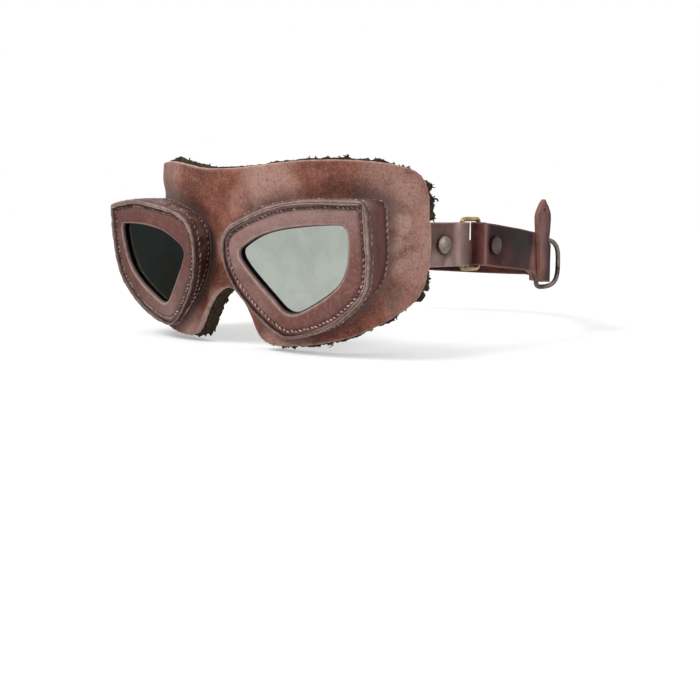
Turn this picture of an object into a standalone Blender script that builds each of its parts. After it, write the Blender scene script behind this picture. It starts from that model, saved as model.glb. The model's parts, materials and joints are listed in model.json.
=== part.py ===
"""Pilot goggles: a leather face mask with two raised lens cups, worn on a leather strap.

Metres, +Z up. The wearer looks along -Y, so the wearer's left is +X. The origin is the middle
of the closed loop that mask and straps make, near the height of the straps.
"""
import math

import bmesh
import bpy
from mathutils import Matrix, Vector

# Face curve: the superellipse that the outer face of the mask follows, seen from above
FACE_HALF_WIDTH = 0.082
FACE_REACH = 0.088
FACE_SQUARENESS = 3.05
FACE_STEP = 0.0035

# Clearance between pieces that touch on the real object
SEAT_GAP = 0.0003
LAYER_GAP = 0.0004
WELD_DISTANCE = 0.000002
CUT_OVERRUN = 0.002

# Mask: its flat leather pattern, measured along the leather from the nose
MASK_THICKNESS = 0.0028
MASK_HALF_LENGTH = 0.097
MASK_RISE = 0.0376
MASK_DROP = 0.0384
MASK_EDGE_STEP = 0.0036
MASK_HALF_OUTLINE_SHARES = (
    (0.13, 0.952), (0.30, 0.980), (0.50, 1.000), (0.70, 0.985), (0.86, 0.935), (0.945, 0.860),
    (0.985, 0.735), (1.000, 0.320), (1.000, 0.000), (0.985, -0.290), (0.938, -0.490),
    (0.855, -0.630), (0.750, -0.765), (0.640, -0.875), (0.515, -0.950), (0.390, -0.990),
    (0.290, -1.000), (0.228, -0.960), (0.192, -0.870), (0.148, -0.680), (0.090, -0.500),
)
MASK_TOP_MIDDLE_SHARE = 0.945
NOSE_ARCH_SHARE = -0.395

# Sheepskin lining behind the mask
FLEECE_THICKNESS = 0.0065
FLEECE_OVERHANG = 0.0016

# Cups: the plane of each lens, its middle, and how it is turned
CUP_MIDDLE_X = 0.0451
CUP_MIDDLE_Y = -0.0924
CUP_MIDDLE_Z = -0.0063
CUP_YAW = math.radians(8.5)
CUP_PITCH = math.radians(7.9)
CUP_NARROWING_X = 0.20
CUP_NARROWING_Y = 0.11
CUP_NARROWING_DEPTH = 0.025
CUP_WALL_THICKNESS = 0.0018
CUP_LIP_PROUD = 0.0008
CUP_EDGE_STEP = 0.0030

# Bezel: its outer edge, the lip of the cup, and its opening
CUP_HALF_WIDTH = 0.0366
CUP_HALF_HEIGHT = 0.0281
CUP_OUTLINE_SHARES = (
    (0.945, 0.960), (0.985, 0.880), (0.995, 0.420), (0.985, 0.050), (0.915, -0.280),
    (0.730, -0.540), (0.490, -0.760), (0.220, -0.905), (-0.020, -0.985), (-0.190, -1.000),
    (-0.330, -0.930), (-0.530, -0.740), (-0.740, -0.480), (-0.910, -0.170), (-0.995, 0.180),
    (-0.985, 0.470), (-0.880, 0.670), (-0.680, 0.810), (-0.380, 0.920), (-0.050, 0.975),
    (0.350, 0.997), (0.700, 0.990), (0.880, 0.978),
)
BEZEL_THICKNESS = 0.0022
OPENING_HALF_WIDTH = 0.0271
OPENING_HALF_HEIGHT = 0.0182
OPENING_MIDDLE_X = -0.0003
OPENING_MIDDLE_Y = 0.0001
OPENING_OUTLINE_SHARES = (
    (0.930, 0.985), (0.985, 0.900), (1.000, 0.550), (0.960, 0.180), (0.830, -0.220),
    (0.610, -0.500), (0.300, -0.770), (0.020, -0.960), (-0.110, -1.000), (-0.250, -0.940),
    (-0.450, -0.660), (-0.700, -0.290), (-0.910, 0.060), (-0.995, 0.270), (-0.985, 0.420),
    (-0.850, 0.560), (-0.600, 0.740), (-0.250, 0.880), (0.200, 0.965), (0.650, 1.000),
    (0.830, 1.003),
)

# Lens and the gasket that holds it against the back of the bezel
LENS_THICKNESS = 0.0020
LENS_OVERLAP = 0.0032
GASKET_THICKNESS = 0.0016
GASKET_REVEAL = 0.0010
EYE_HOLE_INSET = 0.0022

# Straps: one width of leather, folded round the metal rings
STRAP_WIDTH = 0.0184
STRAP_THICKNESS = 0.0019
STRAP_HEIGHT = 0.0034
STRAP_FALL = 0.100
STRAP_REACH = 0.0990
STRAP_SQUARENESS = 2.15
STRAP_STEP = 0.0055
FOLD_CLEARANCE = 0.00035
FOLD_STEPS = 14
FOLD_WRAP = math.radians(118)

# Tabs: from under the ends of the mask to the square rings
TAB_UNDER_MASK = 0.014
TAB_LENGTH = 0.0380
TAB_INNER_SHORTER = 0.004
TAB_RIVET_FROM_MASK = 0.0101

# Square rings between tabs and straps
RING_WIRE_RADIUS = 0.0010
RING_PITCH = 0.0112
RING_INNER_HEIGHT = 0.0192
RING_CORNER_RADIUS = 0.0015

# Left strap: folded at both ends
STRAP_FOLD_LENGTH = 0.0250
STRAP_RIVET_FROM_RING = 0.0097
BACK_RING_Y = 0.0520
BACK_FOLD_LENGTH = 0.0150
BACK_DROP = 0.0042
BACK_DROP_NEAR = 0.0015
BACK_DROP_FAR = 0.0130

# Back ring: a D ring whose bar lies in the fold at the end of the left strap
BACK_RING_WIRE_RADIUS = 0.0010
BACK_RING_INNER_HEIGHT = 0.0210
BACK_RING_CORNER_RADIUS = 0.0024
BACK_RING_DEPTH = 0.0130
BACK_RING_TILT = math.radians(44)
BACK_RING_STEPS = 16
BACK_RING_SQUARENESS = 3.4
BACK_RING_CROSSING_SHARE = 0.55
CORNER_STEPS = 4

# Right strap: its end goes out through the back ring and its pointed tail stands up
TAIL_RISE = 0.0297
LEAF_SHARES = (
    (0.13, 0.365), (0.10, 0.430), (0.04, 0.550), (0.00, 0.700), (0.03, 0.775), (0.12, 0.845),
    (0.27, 0.920), (0.46, 1.000), (0.64, 0.930), (0.80, 0.845), (0.94, 0.765), (1.00, 0.690),
    (0.98, 0.580), (0.93, 0.460), (0.87, 0.360), (0.80, 0.260), (0.77, 0.120), (0.75, 0.000),
    (0.71, -0.120), (0.65, -0.220),
)
LEAF_FOOT_SHARE = 0.56
HOLE_RADIUS = 0.0013
HOLE_STEPS = 12
HOLE_FROM_TIP = 0.0054
HOLE_PITCH = 0.0130
HOLE_COUNT = 4
HOLES_START = 0.0340
TAIL_ROUTE_STEP = 0.0022
TAIL_JOIN_Y = 0.0740
TAIL_DROP_NEAR = 0.0160
TAIL_DROP_FAR = 0.0480
TAIL_ROUTE_SHARES = (
    (1.31, -0.030), (0.92, 0.050), (0.64, 0.223), (0.40, 0.377), (0.108, 0.415),
    (-0.19, 0.385), (-0.69, 0.275), (-1.31, 0.180),
)

# Rivets
RIVET_CAP_RADIUS = 0.0041
RIVET_DOME = 0.0013
RIVET_RIM = 0.0006
RIVET_SHANK_RADIUS = 0.0013
RIVET_BACK_RADIUS = 0.0038
RIVET_BACK_THICKNESS = 0.0012
FLAT_RIVET_DOME = 0.0005
TURNED_STEPS = 24
DOME_STEPS = 5
SHARP_ANGLE = math.radians(32)

WIRE_RESOLUTION = 2


class Path:
    """A plan curve of straight runs, with the distance along it and its outward side."""

    def __init__(self, points):
        self.points = [Vector(p) for p in points]
        self.lengths = [0.0]
        for a, b in zip(self.points, self.points[1:]):
            self.lengths.append(self.lengths[-1] + (b - a).length)
        self.sides = [self.side_at_corner(i) for i in range(len(self.points))]

    @property
    def length(self):
        return self.lengths[-1]

    def run_side(self, i):
        """Right-hand side of run i, which is outward when the path goes from -X to +X."""
        run = (self.points[i + 1] - self.points[i]).normalized()
        return Vector((run.y, -run.x))

    def side_at_corner(self, i):
        """Side vector at a corner, long enough that both runs keep their thickness."""
        if i == 0:
            return self.run_side(0)
        if i == len(self.points) - 1:
            return self.run_side(i - 1)
        before, after = self.run_side(i - 1), self.run_side(i)
        middle = (before + after).normalized()
        return middle / middle.dot(after)

    def find(self, distance):
        last = len(self.points) - 2
        i = 0
        while i < last and distance > self.lengths[i + 1]:
            i += 1
        share = (distance - self.lengths[i]) / (self.lengths[i + 1] - self.lengths[i])
        return i, share

    def place(self, distance, offset=0.0):
        i, share = self.find(distance)
        point = self.points[i].lerp(self.points[i + 1], share)
        side = self.sides[i].lerp(self.sides[i + 1], share)
        return point + side * offset

    def outward(self, distance):
        return self.run_side(self.find(distance)[0])

    def nearest(self, point):
        """Distance along the path of its point closest to a given one."""
        best = None
        for i, (a, b) in enumerate(zip(self.points, self.points[1:])):
            run = b - a
            share = min(1.0, max(0.0, (point - a).dot(run) / run.length_squared))
            gap = (a + run * share - point).length
            if best is None or gap < best[0]:
                best = (gap, self.lengths[i] + share * run.length)
        return best[1]


def superellipse_point(angle, half_width, reach, squareness):
    """Point of the face curve in the direction of an angle from -Y towards +X."""
    across, ahead = math.sin(angle), math.cos(angle)
    size = abs(across / half_width) ** squareness + abs(ahead / reach) ** squareness
    return Vector((across, -ahead)) * size ** (-1 / squareness)


def even_path(point_at, start, end, step):
    """Path of even runs along a curve given by a function of an angle."""
    fine = 1200
    track = [point_at(start + (end - start) * i / fine) for i in range(fine + 1)]
    long_path = Path(track)
    count = max(2, round(long_path.length / step))
    return Path([long_path.place(long_path.length * i / count) for i in range(count + 1)])


def smooth_loop(points, step):
    """Closed smooth curve through points, sampled at about one step."""
    fine = 12
    dense = []
    count = len(points)
    for i in range(count):
        a, b, c, d = (Vector(points[(i + k - 1) % count]) for k in range(4))
        ka = (b - a).length ** 0.5
        kb = ka + (c - b).length ** 0.5
        kc = kb + (d - c).length ** 0.5
        for j in range(fine):
            t = ka + (kb - ka) * j / fine
            ab = a.lerp(b, t / ka)
            bc = b.lerp(c, (t - ka) / (kb - ka))
            cd = c.lerp(d, (t - kb) / (kc - kb))
            abc = ab.lerp(bc, t / kb)
            bcd = bc.lerp(cd, (t - ka) / (kc - ka))
            dense.append(abc.lerp(bcd, (t - ka) / (kb - ka)))
    track = Path(dense + dense[:1])
    samples = max(8, round(track.length / step))
    return [track.place(track.length * i / samples) for i in range(samples)]


def smooth_run(points, step):
    """Smooth open curve through points, sampled at about one step."""
    fine = 10
    first = points[0] * 2 - points[1]
    last = points[-1] * 2 - points[-2]
    line = [first] + list(points) + [last]
    dense = []
    for i in range(1, len(line) - 2):
        for j in range(fine):
            t = j / fine
            a, b, c, d = line[i - 1], line[i], line[i + 1], line[i + 2]
            bend = (b * 2 + (c - a) * t + (a * 2 - b * 5 + c * 4 - d) * t * t
                    + (b * 3 - a - c * 3 + d) * t ** 3) / 2
            dense.append(bend)
    track = Path(dense + [line[-2]])
    samples = max(2, round(track.length / step))
    return [track.place(track.length * i / samples) for i in range(samples + 1)]


def grown_loop(loop, distance):
    """Loop moved outwards by a distance, inwards when it is negative. Loops run clockwise."""
    turned = []
    count = len(loop)
    for i in range(count):
        before = (loop[i] - loop[i - 1]).normalized()
        after = (loop[(i + 1) % count] - loop[i]).normalized()
        side = Vector((-(before.y + after.y), before.x + after.x)).normalized()
        turned.append(loop[i] + side * distance)
    return turned


def circle_loop(middle, radius, steps):
    """Clockwise circle in a flat pattern."""
    turn = -2 * math.pi / steps
    return [middle + Vector((math.cos(turn * i), math.sin(turn * i))) * radius for i in range(steps)]


def scaled_outline(shares, half_width, half_height, middle=(0.0, 0.0)):
    return [(middle[0] + x * half_width, middle[1] + y * half_height) for x, y in shares]


def rotation_to(outward):
    """Rotation that turns a local +Z to a level outward direction, and local +Y up."""
    return Matrix.Rotation(math.atan2(outward.y, outward.x) + math.pi / 2, 4, "Z") @ Matrix.Rotation(
        math.pi / 2, 4, "X")


def new_collection(name):
    collection = bpy.data.collections.new(name)
    bpy.context.scene.collection.children.link(collection)
    return collection


def make_material(name, colour, roughness, metallic=0.0, alpha=1.0):
    material = bpy.data.materials.new(name)
    material.use_nodes = True
    shader = material.node_tree.nodes["Principled BSDF"]
    shader.inputs["Base Color"].default_value = (*colour, 1.0)
    shader.inputs["Roughness"].default_value = roughness
    shader.inputs["Metallic"].default_value = metallic
    shader.inputs["Alpha"].default_value = alpha
    return material


def make_empty(name, matrix):
    empty = bpy.data.objects.new(name, None)
    empty.matrix_world = matrix
    empty.empty_display_size = STRAP_WIDTH
    parts.objects.link(empty)
    return empty


def add_part(name, mesh, material, carrier):
    """Object for a mesh given in world places, moved into the frame of the empty that carries it."""
    mesh.name = name
    mesh.transform(carrier.matrix_world.inverted())
    mesh.materials.clear()
    mesh.materials.append(material)
    mesh.shade_smooth()
    mesh.set_sharp_from_angle(angle=SHARP_ANGLE)
    piece = bpy.data.objects.new(name, mesh)
    parts.objects.link(piece)
    piece.parent = carrier
    return piece


def curve_to_mesh(curve):
    """Welded mesh of a curve's filled and extruded shape."""
    guide = bpy.data.objects.new(curve.name, curve)
    bpy.context.scene.collection.objects.link(guide)
    bpy.context.view_layer.update()
    mesh = bpy.data.meshes.new_from_object(guide.evaluated_get(bpy.context.evaluated_depsgraph_get()))
    bpy.data.objects.remove(guide)
    bpy.data.curves.remove(curve)
    return mesh


def flat_sheet(loops, thickness):
    """Mesh of a flat pattern with holes, half its thickness on either side of z = 0."""
    curve = bpy.data.curves.new("pattern", "CURVE")
    curve.dimensions = "2D"
    curve.fill_mode = "BOTH"
    curve.extrude = thickness / 2
    for loop in loops:
        spline = curve.splines.new("POLY")
        spline.points.add(len(loop) - 1)
        for point, place in zip(spline.points, loop):
            point.co = (place[0], place[1], 0.0, 1.0)
        spline.use_cyclic_u = True
    mesh = curve_to_mesh(curve)
    shape = bmesh.new()
    shape.from_mesh(mesh)
    bmesh.ops.remove_doubles(shape, verts=shape.verts, dist=WELD_DISTANCE)
    bmesh.ops.recalc_face_normals(shape, faces=shape.faces)
    shape.to_mesh(mesh)
    shape.free()
    return mesh


def wrapped_sheet(loops, thickness, path, height, start=0.0, offset=0.0):
    """Flat pattern creased at each corner of a path and wrapped along it.

    The pattern's x runs along the path from the start, its y is the height above the path and
    its thickness goes to either side of the offset. The height function lifts each place.
    """
    mesh = flat_sheet(loops, thickness)
    shape = bmesh.new()
    shape.from_mesh(mesh)
    lowest = min(v.co.x for v in shape.verts) + WELD_DISTANCE
    highest = max(v.co.x for v in shape.verts) - WELD_DISTANCE
    for distance in path.lengths:
        crease = distance - start
        if lowest < crease < highest:
            bmesh.ops.bisect_plane(
                shape, geom=shape.verts[:] + shape.edges[:] + shape.faces[:], dist=WELD_DISTANCE,
                plane_co=(crease, 0.0, 0.0), plane_no=(1.0, 0.0, 0.0))
    for v in shape.verts:
        plan = path.place(v.co.x + start, v.co.z + offset)
        v.co = Vector((plan.x, plan.y, v.co.y + height(plan)))
    bmesh.ops.triangulate(shape, faces=shape.faces)
    bmesh.ops.recalc_face_normals(shape, faces=shape.faces)
    shape.to_mesh(mesh)
    shape.free()
    return mesh


def level(height):
    """Height function of a sheet that stays at one height."""
    return lambda plan: height


def make_cutter(name, mesh):
    cutter = bpy.data.objects.new(name, mesh)
    cutters.objects.link(cutter)
    cutter.hide_render = True
    cutter.display_type = "WIRE"
    return cutter


def cut_away(piece, cutter):
    boolean = piece.modifiers.new(cutter.name, "BOOLEAN")
    boolean.operation = "DIFFERENCE"
    boolean.solver = "EXACT"
    boolean.object = cutter


def turned_mesh(name, profile):
    """Mesh of an outline of (radius, height) points, top to bottom, turned round Z."""
    outline = bpy.data.meshes.new(name)
    points = [(radius, 0.0, height) for radius, height in profile]
    outline.from_pydata(points, [(i, i + 1) for i in range(len(points) - 1)], [])
    guide = bpy.data.objects.new(name, outline)
    bpy.context.scene.collection.objects.link(guide)
    screw = guide.modifiers.new("turn", "SCREW")
    screw.steps = TURNED_STEPS
    screw.render_steps = TURNED_STEPS
    screw.use_merge_vertices = True
    screw.merge_threshold = WELD_DISTANCE
    bpy.context.view_layer.update()
    mesh = bpy.data.meshes.new_from_object(guide.evaluated_get(bpy.context.evaluated_depsgraph_get()))
    bpy.data.objects.remove(guide)
    bpy.data.meshes.remove(outline)
    return mesh


def wire_mesh(name, places, radius):
    """Round wire along a closed centre line."""
    curve = bpy.data.curves.new(name, "CURVE")
    curve.dimensions = "3D"
    curve.bevel_depth = radius
    curve.bevel_resolution = WIRE_RESOLUTION
    spline = curve.splines.new("POLY")
    spline.points.add(len(places) - 1)
    for point, place in zip(spline.points, places):
        point.co = (*place, 1.0)
    spline.use_cyclic_u = True
    return curve_to_mesh(curve)


def face_path():
    """Path of the mask's outer face, with its middle at the nose."""
    def place(angle):
        return superellipse_point(angle, FACE_HALF_WIDTH, FACE_REACH, FACE_SQUARENESS)
    return even_path(place, -math.pi / 2, math.pi / 2, FACE_STEP)


def mask_loop():
    """Flat outline of the whole mask, clockwise from the middle of its top edge."""
    def sized(share_along, share_up):
        up = MASK_RISE if share_up > 0 else MASK_DROP
        return share_along * MASK_HALF_LENGTH, share_up * up
    half = [sized(*shares) for shares in MASK_HALF_OUTLINE_SHARES]
    other = [(-x, y) for x, y in reversed(half)]
    top = sized(0.0, MASK_TOP_MIDDLE_SHARE)
    arch = sized(0.0, NOSE_ARCH_SHARE)
    return smooth_loop([top] + half + [arch] + other, MASK_EDGE_STEP)


def cup_matrix(side):
    """Frame of a cup: its local +Z is the way the lens faces."""
    turn = Matrix.Rotation(side * CUP_YAW, 4, "Z") @ Matrix.Rotation(math.pi / 2 + CUP_PITCH, 4, "X")
    middle = Vector((side * CUP_MIDDLE_X, CUP_MIDDLE_Y, CUP_MIDDLE_Z))
    return Matrix.Translation(middle) @ turn


def face_size(place):
    """How far out a place is, with 1 on the outer face of the mask."""
    across = abs(place.x / FACE_HALF_WIDTH) ** FACE_SQUARENESS
    ahead = abs(place.y / FACE_REACH) ** FACE_SQUARENESS
    return (across + ahead) ** (1 / FACE_SQUARENESS)


def cup_place(x, y, depth):
    """Place in the cup's frame of a lip point carried back along the narrowing wall."""
    share = depth / CUP_NARROWING_DEPTH
    return Vector((x * (1 - CUP_NARROWING_X * share), y * (1 - CUP_NARROWING_Y * share), -depth))


def seat_depth(x, y, frame):
    """Depth at which the wall line of a lip point meets the face of the mask."""
    seat = 1 + SEAT_GAP / FACE_REACH
    shallow, deep = 0.0, FACE_REACH
    for _ in range(40):
        middle = (shallow + deep) / 2
        if face_size(frame @ cup_place(x, y, middle)) > seat:
            shallow = middle
        else:
            deep = middle
    return shallow


def cup_wall_mesh(lip, frame):
    """Wall lofted from the lip round the bezel back to the curved face of the mask."""
    inner = grown_loop(lip, -CUP_WALL_THICKNESS)
    collar = BEZEL_THICKNESS + SEAT_GAP
    rings = []
    for loop, order in ((lip, 1), (inner, -1)):
        rows = [[Vector((p.x, p.y, CUP_LIP_PROUD)) for p in loop]]
        rows.append([Vector((p.x, p.y, -min(collar, seat_depth(p.x, p.y, frame) / 2))) for p in loop])
        rows.append([cup_place(p.x, p.y, seat_depth(p.x, p.y, frame)) for p in loop])
        rings += rows[::order]
    shape = bmesh.new()
    made = [[shape.verts.new(place) for place in ring] for ring in rings]
    count = len(lip)
    for ring, following in zip(made, made[1:] + made[:1]):
        for i in range(count):
            j = (i + 1) % count
            shape.faces.new((ring[i], ring[j], following[j], following[i]))
    bmesh.ops.triangulate(shape, faces=shape.faces)
    bmesh.ops.recalc_face_normals(shape, faces=shape.faces)
    mesh = bpy.data.meshes.new("cup_wall")
    shape.to_mesh(mesh)
    shape.free()
    return mesh


def eye_hole(lip, frame, face):
    """Flat outline of the opening in mask and lining behind a cup, inside its wall."""
    inner = grown_loop(lip, -CUP_WALL_THICKNESS - EYE_HOLE_INSET)
    hole = []
    middle = face.length / 2
    for p in inner:
        seat = frame @ cup_place(p.x, p.y, seat_depth(p.x, p.y, frame))
        hole.append(Vector((face.nearest(seat.xy) - middle, seat.z)))
    return hole


def fold_points(bar, ahead, outward, radius, half_gap):
    """Centre line of a fold round a bar, from its outer layer to its inner one.

    The layers come from behind, against the ahead direction, and the fold's nose is ahead.
    """
    points = []
    for i in range(FOLD_STEPS + 1):
        angle = FOLD_WRAP * (1 - 2 * i / FOLD_STEPS)
        points.append(bar + (ahead * math.cos(angle) + outward * math.sin(angle)) * radius)
    closing = (radius * math.sin(FOLD_WRAP) - half_gap) * math.tan(math.pi - FOLD_WRAP)
    back = closing - radius * math.cos(FOLD_WRAP)
    outer = bar - ahead * back + outward * half_gap
    inner = bar - ahead * back - outward * half_gap
    return [outer] + points + [inner], back


def layer_places(path, offset, start, end, step):
    """Evenly spaced places along a path, to one side of it."""
    count = max(1, round(abs(end - start) / step))
    return [path.place(start + (end - start) * i / count, offset) for i in range(count + 1)]


def smooth_share(value):
    share = min(1.0, max(0.0, value))
    return share * share * (3 - 2 * share)


def layer_offset():
    return (STRAP_THICKNESS + LAYER_GAP) / 2


def fold_radius(wire_radius):
    """Radius of the middle of the leather where it goes round a wire."""
    return wire_radius + FOLD_CLEARANCE + STRAP_THICKNESS / 2


def tab_start():
    """How far along the mask's face from its middle the tab starts."""
    return MASK_HALF_LENGTH - TAB_UNDER_MASK


def tab_layout(face):
    """Places of the tab's middle layer line, and of both bars of the square ring, on the left."""
    middle = face.length / 2
    depth = -(MASK_THICKNESS + SEAT_GAP + STRAP_THICKNESS + LAYER_GAP / 2)
    end = middle + tab_start() + TAB_LENGTH
    front = face.place(end, depth)
    outward = face.outward(end)
    ahead = Vector((-outward.y, outward.x))
    return {
        "depth": depth, "end": end, "front_bar": front, "ahead": ahead, "outward": outward,
        "rear_bar": front + ahead * RING_PITCH, "middle": middle}


def tab_path(face, layout):
    """Centre line of the folded tab, from its outer end under the mask round to its inner end."""
    gap = layer_offset()
    fold, back = fold_points(
        layout["front_bar"], layout["ahead"], layout["outward"], fold_radius(RING_WIRE_RADIUS), gap)
    start = layout["middle"] + tab_start()
    last = layout["end"] - back - STRAP_THICKNESS
    outer = layer_places(face, layout["depth"] + gap, start, last, FACE_STEP)
    inner = layer_places(face, layout["depth"] - gap, last, start + TAB_INNER_SHORTER, FACE_STEP)
    return Path(outer + fold + inner)


def strap_run(layout, start_y, end_y, across):
    """Middle line of the strap, on the oval through the ring's rear bar.

    It runs rearwards on the +X side, and round to the other side where across is set.
    """
    rear = layout["rear_bar"]
    power = STRAP_SQUARENESS
    half_width = rear.x / (1 - abs(rear.y / STRAP_REACH) ** power) ** (1 / power)

    def angle_at(y):
        x = half_width * (1 - abs(y / STRAP_REACH) ** power) ** (1 / power)
        return math.atan2(x, -y)

    def place(angle):
        return superellipse_point(angle, half_width, STRAP_REACH, power)
    last = angle_at(end_y)
    return even_path(place, angle_at(start_y), 2 * math.pi - last if across else last, STRAP_STEP)


def front_fold(run, bar):
    """Fold of a strap round the rear bar of its square ring, from inner layer to outer."""
    outward = run.outward(0.0)
    ahead = Vector((outward.y, -outward.x))
    fold, back = fold_points(bar, ahead, outward, fold_radius(RING_WIRE_RADIUS), layer_offset())
    return fold[::-1], back + STRAP_THICKNESS


def strap_height(rear_bar, back_bar, near, far):
    """Height of a strap's middle over each plan place: it falls rearwards and at the back ring."""
    def height(plan):
        drop = 1 - smooth_share(((plan - back_bar).length - near) / (far - near))
        return STRAP_HEIGHT - STRAP_FALL * max(0.0, plan.y - rear_bar.y) - BACK_DROP * drop
    return height


def left_strap_path(run, layout):
    gap = layer_offset()
    fold, back = front_fold(run, layout["rear_bar"])
    outward = run.outward(run.length)
    ahead = Vector((-outward.y, outward.x))
    rear_fold, rear_back = fold_points(
        run.points[-1], ahead, outward, fold_radius(BACK_RING_WIRE_RADIUS), gap)
    rear_back = run.length - rear_back - STRAP_THICKNESS
    front_layer = layer_places(run, -gap, STRAP_FOLD_LENGTH, back, STRAP_STEP)
    outer = layer_places(run, gap, back, rear_back, STRAP_STEP)
    rear_layer = layer_places(run, -gap, rear_back, run.length - BACK_FOLD_LENGTH, STRAP_STEP)
    return Path(front_layer + fold + outer + rear_fold + rear_layer)


def straight_pattern(length):
    half = STRAP_WIDTH / 2
    return [(0.0, half), (length, half), (length, -half), (0.0, -half)]


def mirrored_points(points):
    return [Vector((-p.x, p.y)) for p in points]


def tail_route(back_bar, ahead, outward):
    """Marks of the tail's way out through the back ring and forward over the left strap."""
    return [
        back_bar + (ahead * along + outward * out) * BACK_RING_DEPTH
        for along, out in TAIL_ROUTE_SHARES]


def right_strap_path(run, across, layout):
    """Centre line of the right strap, worked out on the left side and then mirrored."""
    gap = layer_offset()
    fold, back = front_fold(across, layout["rear_bar"])
    inner = layer_places(across, -gap, STRAP_FOLD_LENGTH, back, STRAP_STEP)
    outer = layer_places(across, gap, back, across.length, STRAP_STEP)
    outward = run.outward(run.length)
    ahead = Vector((-outward.y, outward.x))
    marks = mirrored_points(tail_route(run.points[-1], ahead, outward))
    tail = smooth_run(outer[-3:] + marks, TAIL_ROUTE_STEP)
    return Path(mirrored_points(inner + fold + outer[:-3] + tail))


def leaf_outline(length):
    """Pattern of the right strap: a long strip whose end turns up into a waisted leaf."""
    half = STRAP_WIDTH / 2
    front = length - STRAP_WIDTH
    leaf = [(front + x * STRAP_WIDTH, y * TAIL_RISE) for x, y in LEAF_SHARES]
    return [(0.0, half), (front, half)] + leaf + [
        (front + LEAF_FOOT_SHARE * STRAP_WIDTH, -half), (0.0, -half)]


def rivet_mesh(name, dome, shank_length):
    """Rivet cap and shank: its seat is at z = 0 and the shank goes down."""
    profile = []
    for i in range(DOME_STEPS + 1):
        angle = math.pi / 2 * i / DOME_STEPS
        profile.append((RIVET_CAP_RADIUS * math.sin(angle), RIVET_RIM + dome * math.cos(angle)))
    profile += [
        (RIVET_CAP_RADIUS, SEAT_GAP), (RIVET_SHANK_RADIUS, SEAT_GAP),
        (RIVET_SHANK_RADIUS, -shank_length), (0.0, -shank_length)]
    return turned_mesh(name, profile)


def rivet_back_mesh(name, grip, shank_length):
    """Closed cap on the inner side, with a blind bore that takes the end of the shank."""
    top = -grip - SEAT_GAP
    floor = -shank_length - SEAT_GAP
    bottom = floor - RIVET_RIM
    bore = RIVET_SHANK_RADIUS + SEAT_GAP
    profile = [
        (0.0, floor), (bore, floor), (bore, top), (RIVET_BACK_RADIUS, top),
        (RIVET_BACK_RADIUS, bottom + RIVET_RIM / 2), (RIVET_BACK_RADIUS - RIVET_RIM, bottom),
        (0.0, bottom)]
    return turned_mesh(name, profile)


def add_rivet(name, place, outward, height, dome, carrier, leather):
    """Rivet through both layers of a folded strap, with the hole that it needs in them."""
    grip = 2 * STRAP_THICKNESS + LAYER_GAP
    shank = grip + RIVET_BACK_THICKNESS
    frame = Matrix.Translation((place.x, place.y, height)) @ rotation_to(outward)
    cap = rivet_mesh(name, dome, shank)
    cap.transform(frame)
    add_part(name, cap, rivet_metal, carrier)
    back = rivet_back_mesh(name + "_back", grip, shank)
    back.transform(frame)
    add_part(name + "_back", back, rivet_metal, carrier)
    bore = RIVET_SHANK_RADIUS + SEAT_GAP
    hole = turned_mesh(name + "_hole", [
        (0.0, CUT_OVERRUN), (bore, CUT_OVERRUN), (bore, -grip - CUT_OVERRUN),
        (0.0, -grip - CUT_OVERRUN)])
    hole.transform(frame)
    cut_away(leather, make_cutter(name + "_hole", hole))


def rounded_corner(middle, radius, start_angle):
    """Quarter circle of a ring's corner, clockwise from an angle, in across and up."""
    return [
        middle + Vector((math.cos(a), math.sin(a))) * radius
        for a in (start_angle - math.pi / 2 * i / CORNER_STEPS for i in range(CORNER_STEPS + 1))]


def square_ring_line():
    """Centre line of a square ring: across from the front bar, and up from its middle."""
    half = RING_INNER_HEIGHT / 2 + RING_WIRE_RADIUS
    r = RING_CORNER_RADIUS
    top, low = half - r, r - half
    rear = RING_PITCH - r
    middles = [Vector((r, top)), Vector((rear, top)), Vector((rear, low)), Vector((r, low))]
    line = []
    for i, middle in enumerate(middles):
        line += rounded_corner(middle, r, math.pi - math.pi / 2 * i)
    return line


def back_ring_line():
    """Centre line of the back ring: a straight bar and a squarish half oval."""
    half = BACK_RING_INNER_HEIGHT / 2 + BACK_RING_WIRE_RADIUS
    r = BACK_RING_CORNER_RADIUS
    line = rounded_corner(Vector((r, half - r)), r, math.pi)
    for i in range(1, BACK_RING_STEPS):
        angle = math.pi * i / BACK_RING_STEPS
        oval = superellipse_point(angle, BACK_RING_DEPTH - r, half, BACK_RING_SQUARENESS)
        line.append(Vector((r + oval.x, -oval.y)))
    return line + rounded_corner(Vector((r, r - half)), r, -math.pi / 2)


def standing_wire(name, line, radius, bar, across, height):
    """Wire whose flat centre line stands upright from a bar, in the across direction."""
    places = [(*(bar + across * p.x), height + p.y) for p in line]
    return wire_mesh(name, places, radius)


def add_front(face):
    """Mask, lining and everything in the two cups."""
    middle = face.length / 2
    outline = mask_loop()
    holes = []
    for side in (1, -1):
        cup = make_empty(("left" if side > 0 else "right") + "_cup_frame", cup_matrix(side))
        holes.append(add_cup(cup, side, face))
    mask = wrapped_sheet(
        [outline] + holes, MASK_THICKNESS, face, level(0.0), middle, -MASK_THICKNESS / 2)
    add_part("face_mask", mask, mask_leather, loop_middle)
    lining = wrapped_sheet(
        [grown_loop(outline, FLEECE_OVERHANG)] + holes, FLEECE_THICKNESS, face, level(0.0), middle,
        -MASK_THICKNESS - SEAT_GAP - FLEECE_THICKNESS / 2)
    return add_part("fleece_lining", lining, fleece, loop_middle)


def sided(loop, side):
    """Loop for the wearer's left as it is, or turned over for the right, still clockwise."""
    return loop if side > 0 else [Vector((-p.x, p.y)) for p in reversed(loop)]


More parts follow.
